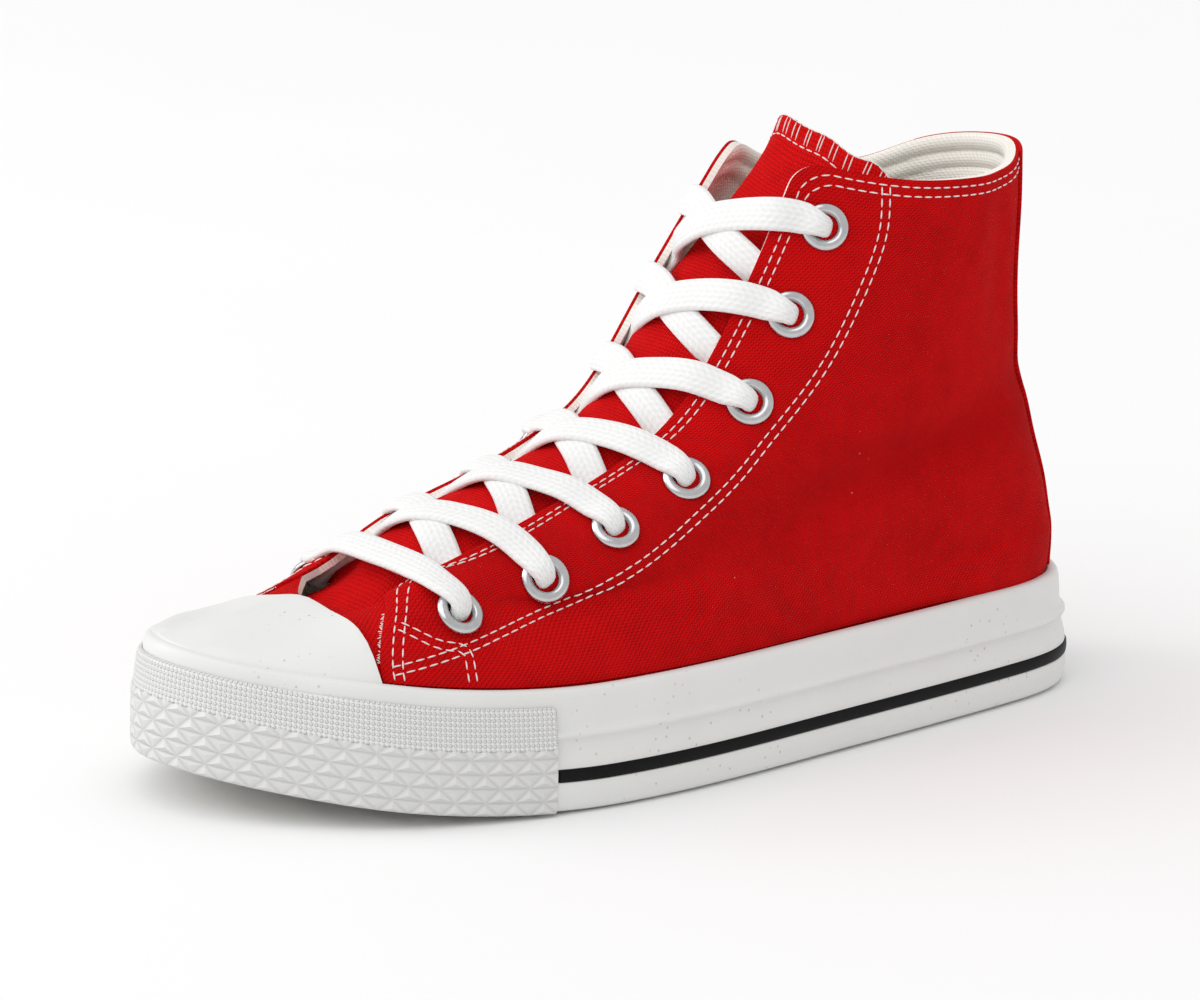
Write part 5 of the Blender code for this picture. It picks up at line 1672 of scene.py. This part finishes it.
# Eyelets
EYELET_RADIUS = 5.7 * MM
EYELET_HOLE = 2.9 * MM
EYELET_RISE = 1.25 * MM
EYELET_TURNS = 40
EYELET_SIDES = 14
# Flatness of a ring's underside, and how far its barrel goes down
EYELET_FLAT = 0.35
EYELET_BARREL = 5.0


def eyelet_model():
    """Rolled metal ring with its barrel, at the origin and facing up."""
    middle = 0.5 * (EYELET_RADIUS + EYELET_HOLE)
    half = 0.5 * (EYELET_RADIUS - EYELET_HOLE)
    deselect()
    bpy.ops.mesh.primitive_torus_add(major_radius=middle, minor_radius=half,
                                     major_segments=EYELET_TURNS, minor_segments=EYELET_SIDES)
    ring = bpy.context.object
    ring.data.materials.append(EYELET_METAL)
    for vertex in ring.data.vertices:
        if vertex.co.z > 0.0:
            vertex.co.z *= EYELET_RISE / half
        else:
            vertex.co.z *= EYELET_FLAT
            if math.hypot(vertex.co.x, vertex.co.y) < middle:
                vertex.co.z *= EYELET_BARREL
    return ring


def make_eyelets():
    """Copies of one eyelet, each set in its hole."""
    model = eyelet_model()
    for word, side in (("lateral", 1), ("medial", -1)):
        for pair in range(1, EYELET_PAIRS + 1):
            centre, normal, _, _ = eyelet_place(pair, side)
            ring = bpy.data.objects.new(f"eyelet_ring_{word}_{pair}", model.data.copy())
            bpy.context.scene.collection.objects.link(ring)
            axis = Vector(normal)
            turn = axis.to_track_quat("Z", "Y").to_matrix().to_4x4()
            ring.data.transform(Matrix.Translation(Vector(centre) + axis * PANEL_OVER) @ turn)
            finish_piece(ring, "silver_metal", f"eyelet_{word}_{pair}", smooth=80.0)
    bpy.data.objects.remove(model)


# Laces
LACE_WIDTH = 8.0 * MM
LACE_THICKNESS = 2.3 * MM
LACE_GATHER = 0.58
LACE_SIDES = 18
LACE_STEP = 1.0 * MM
LACE_HUG = 0.6 * MM
LACE_SWELL = 0.45
LACE_SQUARE = 0.8
LACE_FLATNESS = 0.75
LACE_EMERGE = 7.0 * MM
LACE_TOP = 3.0 * MM
LACE_UNDER = 1.3 * MM


def lace_piece(name, points, normals, gathers, nodes):
    """Flat braided lace through points, its faces turned to normals, drawn in at the holes."""
    points = np.asarray(points, float)
    normals = np.asarray(normals, float)
    knots = chord_knots(points)
    count = int(knots[-1] / LACE_STEP)
    at = np.linspace(0.0, knots[-1], count)
    line = spline(knots, points, at)
    ahead = unit(np.gradient(line, axis=0))
    gather = np.interp(at, knots, gathers)
    side = unit(np.cross(ahead, between(at, knots, normals)))
    up = np.cross(side, ahead)
    sections = []
    uvs = []
    for number in range(count):
        pull = gather[number]
        width = 0.5 * LACE_WIDTH * (1.0 - (1.0 - LACE_GATHER) * pull)
        thick = 0.5 * LACE_THICKNESS * (1.0 + LACE_SWELL * pull)
        for corner in range(LACE_SIDES):
            angle = 2.0 * math.pi * corner / LACE_SIDES
            flat = math.copysign(abs(math.cos(angle)) ** LACE_SQUARE, math.cos(angle))
            rise = math.copysign(abs(math.sin(angle)) ** LACE_FLATNESS, math.sin(angle))
            sections.append(line[number] + side[number] * width * flat + up[number] * thick * rise)
            uvs.append((flat * 0.5 * LACE_WIDTH / WEAVE_UNIT, at[number] / WEAVE_UNIT))
    faces = grid_faces(count, LACE_SIDES, wrap_columns=True)
    faces = [tuple(map(int, face)) for face in faces]
    faces.append(tuple(range(LACE_SIDES)))
    faces.append(tuple((count - 1) * LACE_SIDES + corner for corner in range(LACE_SIDES))[::-1])
    lace = mesh_piece(name, sections, faces, [LACE_COTTON], None, uvs)
    face_outwards(lace)
    return finish_piece(lace, "white_cotton", *nodes, smooth=THREAD_SMOOTH)


def over_tongue(along, x, lift):
    """Point over the tongue's outer face at a distance from the middle line."""
    row = tongue_line(along)
    up = throat_section(along)[2]
    return between(x, row[:, 0], row) + up * lift, up


def into_eyelet(pair, side, lift):
    """Points of a lace from the throat edge into an eyelet, with normals and gathering."""
    centre, normal, along, distance = eyelet_place(pair, side)
    edge, edge_normal = beside_throat(along - 1.5 * MM, 1.5 * MM, side)
    edge_normal = edge_normal + 0.8 * throat_section(along)[2]
    edge_normal /= np.linalg.norm(edge_normal)
    near, near_normal = beside_throat(along - 0.3 * MM, distance - 5.5 * MM, side)
    inward = edge - centre
    inward -= normal * (inward @ normal)
    inward /= np.linalg.norm(inward)
    clear = 0.0 if side > 0 else LACE_HUG
    return [
        (edge + edge_normal * (PANEL_OVER + 1.0 * MM + lift - clear), edge_normal, 0.0),
        (near + near_normal * (PANEL_OVER + 1.5 * MM - clear), near_normal, 0.15),
        (centre + inward * 1.2 * MM + normal * (PANEL_OVER + 1.9 * MM), normal + 0.4 * inward, 0.8),
        (centre - inward * 0.3 * MM - normal * 0.4 * MM, normal * 0.3 - inward, 1.0),
        (centre - normal * 3.2 * MM, -inward, 1.0),
    ]


def from_inside(pair, side):
    """Points of a lace from inside an eyelet to under the throat edge."""
    centre, normal, along, distance = eyelet_place(pair, side)
    reach = LACE_EMERGE
    under, under_normal = beside_throat(along + 0.5 * reach, 0.5 * distance, side)
    x = side * (abs(throat_frame(along + reach, side)[0][0]) - 1.0 * MM)
    out, up = over_tongue(along + reach, x, 0.3 * MM)
    return [
        (centre - normal * 3.0 * MM, normal, 0.8),
        (under - under_normal * 2.9 * MM, under_normal, 0.2),
        (out, up, 0.0),
    ]


def make_lace_bar():
    """Lowest lace, straight across from eyelet to eyelet on the outside."""
    into_lateral = into_eyelet(1, 1, 0.8 * MM)
    into_medial = into_eyelet(1, -1, 0.8 * MM)
    along = eyelet_place(1, 1)[2]
    middle, up = over_tongue(along - 1.5 * MM, 0.0, 4.2 * MM)
    rows = into_medial[::-1] + [(middle, up, 0.0)] + into_lateral
    points, normals, gathers = zip(*rows)
    return lace_piece("lace_first", points, normals, gathers, ["lace_bar"])


def make_lace_strand(pair, side, over, nodes):
    """Lace from under one throat edge, across the tongue, into the other side's eyelet."""
    hidden = from_inside(pair - 1, -side)
    ending = into_eyelet(pair, side, 0.6 * MM if over else 0.2 * MM)
    start = eyelet_place(pair - 1, -side)[2] + LACE_EMERGE
    end = eyelet_place(pair, side)[2]
    edge_x = -side * abs(throat_frame(start, -side)[0][0])
    near, up = over_tongue(start + 0.25 * (end - start), 0.5 * edge_x, 1.3 * MM)
    centre, up = over_tongue(0.5 * (start + end), 0.0, LACE_TOP if over else LACE_UNDER)
    far, far_up = over_tongue(start + 0.75 * (end - start), -0.5 * edge_x,
                              LACE_TOP if over else 1.6 * MM)
    rows = hidden + [(near, up, 0.0), (centre, up, 0.0), (far, far_up, 0.0)] + ending
    points, normals, gathers = zip(*rows)
    word = "over" if over else "under"
    return lace_piece(f"lace_{word}_{pair}", points, normals, gathers, nodes)


def make_laces():
    """The bar and the six crossings, each of an upper and a lower strand."""
    make_lace_bar()
    for pair in range(2, EYELET_PAIRS + 1):
        make_lace_strand(pair, 1, True, [f"lace_crossing_{pair}"])
        make_lace_strand(pair, -1, False, [f"lace_crossing_{pair}"])


# Camera as the photograph's: direction, distance and lens
VIEW_AZIMUTH = 54.59
VIEW_ELEVATION = 14.16
VIEW_ROLL = 1.31
VIEW_DISTANCE = 1.2
VIEW_TARGET = (0.01114, -0.01580, 0.06040)
VIEW_LENS = 156.7
SENSOR_WIDTH = 36.0


def make_camera():
    """Camera at the photograph's angle to the shoe."""
    azimuth = math.radians(VIEW_AZIMUTH)
    elevation = math.radians(VIEW_ELEVATION)
    roll = math.radians(VIEW_ROLL)
    back = Vector((math.sin(azimuth) * math.cos(elevation),
                   -math.cos(azimuth) * math.cos(elevation), math.sin(elevation)))
    right = Vector((math.cos(azimuth), math.sin(azimuth), 0.0))
    up = back.cross(right)
    turned_right = right * math.cos(roll) + up * math.sin(roll)
    turned_up = up * math.cos(roll) - right * math.sin(roll)
    place = Vector(VIEW_TARGET) + back * VIEW_DISTANCE
    data = bpy.data.cameras.new("photo_camera")
    data.lens = VIEW_LENS
    data.sensor_width = SENSOR_WIDTH
    data.sensor_fit = "HORIZONTAL"
    data.clip_start = 0.05
    camera = bpy.data.objects.new("photo_camera", data)
    bpy.context.scene.collection.objects.link(camera)
    camera.matrix_world = Matrix((
        (turned_right.x, turned_up.x, back.x, place.x),
        (turned_right.y, turned_up.y, back.y, place.y),
        (turned_right.z, turned_up.z, back.z, place.z),
        (0.0, 0.0, 0.0, 1.0),
    ))
    bpy.context.scene.camera = camera


# Floor and light
FLOOR_SIZE = 12.0
WORLD_STRENGTH = 0.74
SUN_POWER = 1.0
SUN_SOFTNESS = 70.0
SUN_DIRECTION = (0.05, -0.75, 1.0)
LIGHT_PLACE = (-1.0, -1.2, 0.7)
LIGHT_TARGET = (0.0, 0.0, 0.05)
LIGHT_SIZE = 0.7
LIGHT_POWER = 5.0


def make_light():
    """Square soft light on the left that faces the shoe."""
    data = bpy.data.lights.new("left_light", "AREA")
    data.shape = "SQUARE"
    data.size = LIGHT_SIZE
    data.energy = LIGHT_POWER
    lamp = bpy.data.objects.new("left_light", data)
    bpy.context.scene.collection.objects.link(lamp)
    lamp.location = LIGHT_PLACE
    direction = Vector(LIGHT_TARGET) - Vector(LIGHT_PLACE)
    lamp.rotation_euler = direction.to_track_quat("-Z", "Y").to_euler()


def make_studio():
    """Pale floor, bright surroundings, a soft sun and one soft light."""
    deselect()
    bpy.ops.mesh.primitive_plane_add(size=FLOOR_SIZE, location=(0.0, 0.0, 0.0))
    floor = bpy.context.object
    floor.name = "studio_floor"
    floor.data.materials.append(FLOOR)
    world = bpy.data.worlds.new("studio")
    world.use_nodes = True
    background = world.node_tree.nodes["Background"]
    background.inputs["Color"].default_value = (1.0, 1.0, 1.0, 1.0)
    background.inputs["Strength"].default_value = WORLD_STRENGTH
    bpy.context.scene.world = world
    bpy.context.scene.view_settings.view_transform = "Standard"
    data = bpy.data.lights.new("studio_sun", "SUN")
    data.energy = SUN_POWER
    data.angle = math.radians(SUN_SOFTNESS)
    sun = bpy.data.objects.new("studio_sun", data)
    bpy.context.scene.collection.objects.link(sun)
    sun.rotation_euler = Vector(SUN_DIRECTION).to_track_quat("Z", "Y").to_euler()
    make_light()


def dress_solid(node, material):
    """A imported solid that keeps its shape, with a better finish."""
    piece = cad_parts[node]
    piece.data.materials.clear()
    piece.data.materials.append(material)


def main():
    """Build every visible piece."""
    make_camera()
    make_studio()
    make_upper_wall()
    for side in (1, -1):
        make_quarter(side)
        make_stitching(side)
    make_eyelets()
    make_toe_cap()
    make_side_band()
    make_stripe()
    make_bumper()
    make_heel_strip()
    make_tongue()
    make_insole()
    make_laces()
    dress_solid("outsole", TREAD_RUBBER)


main()
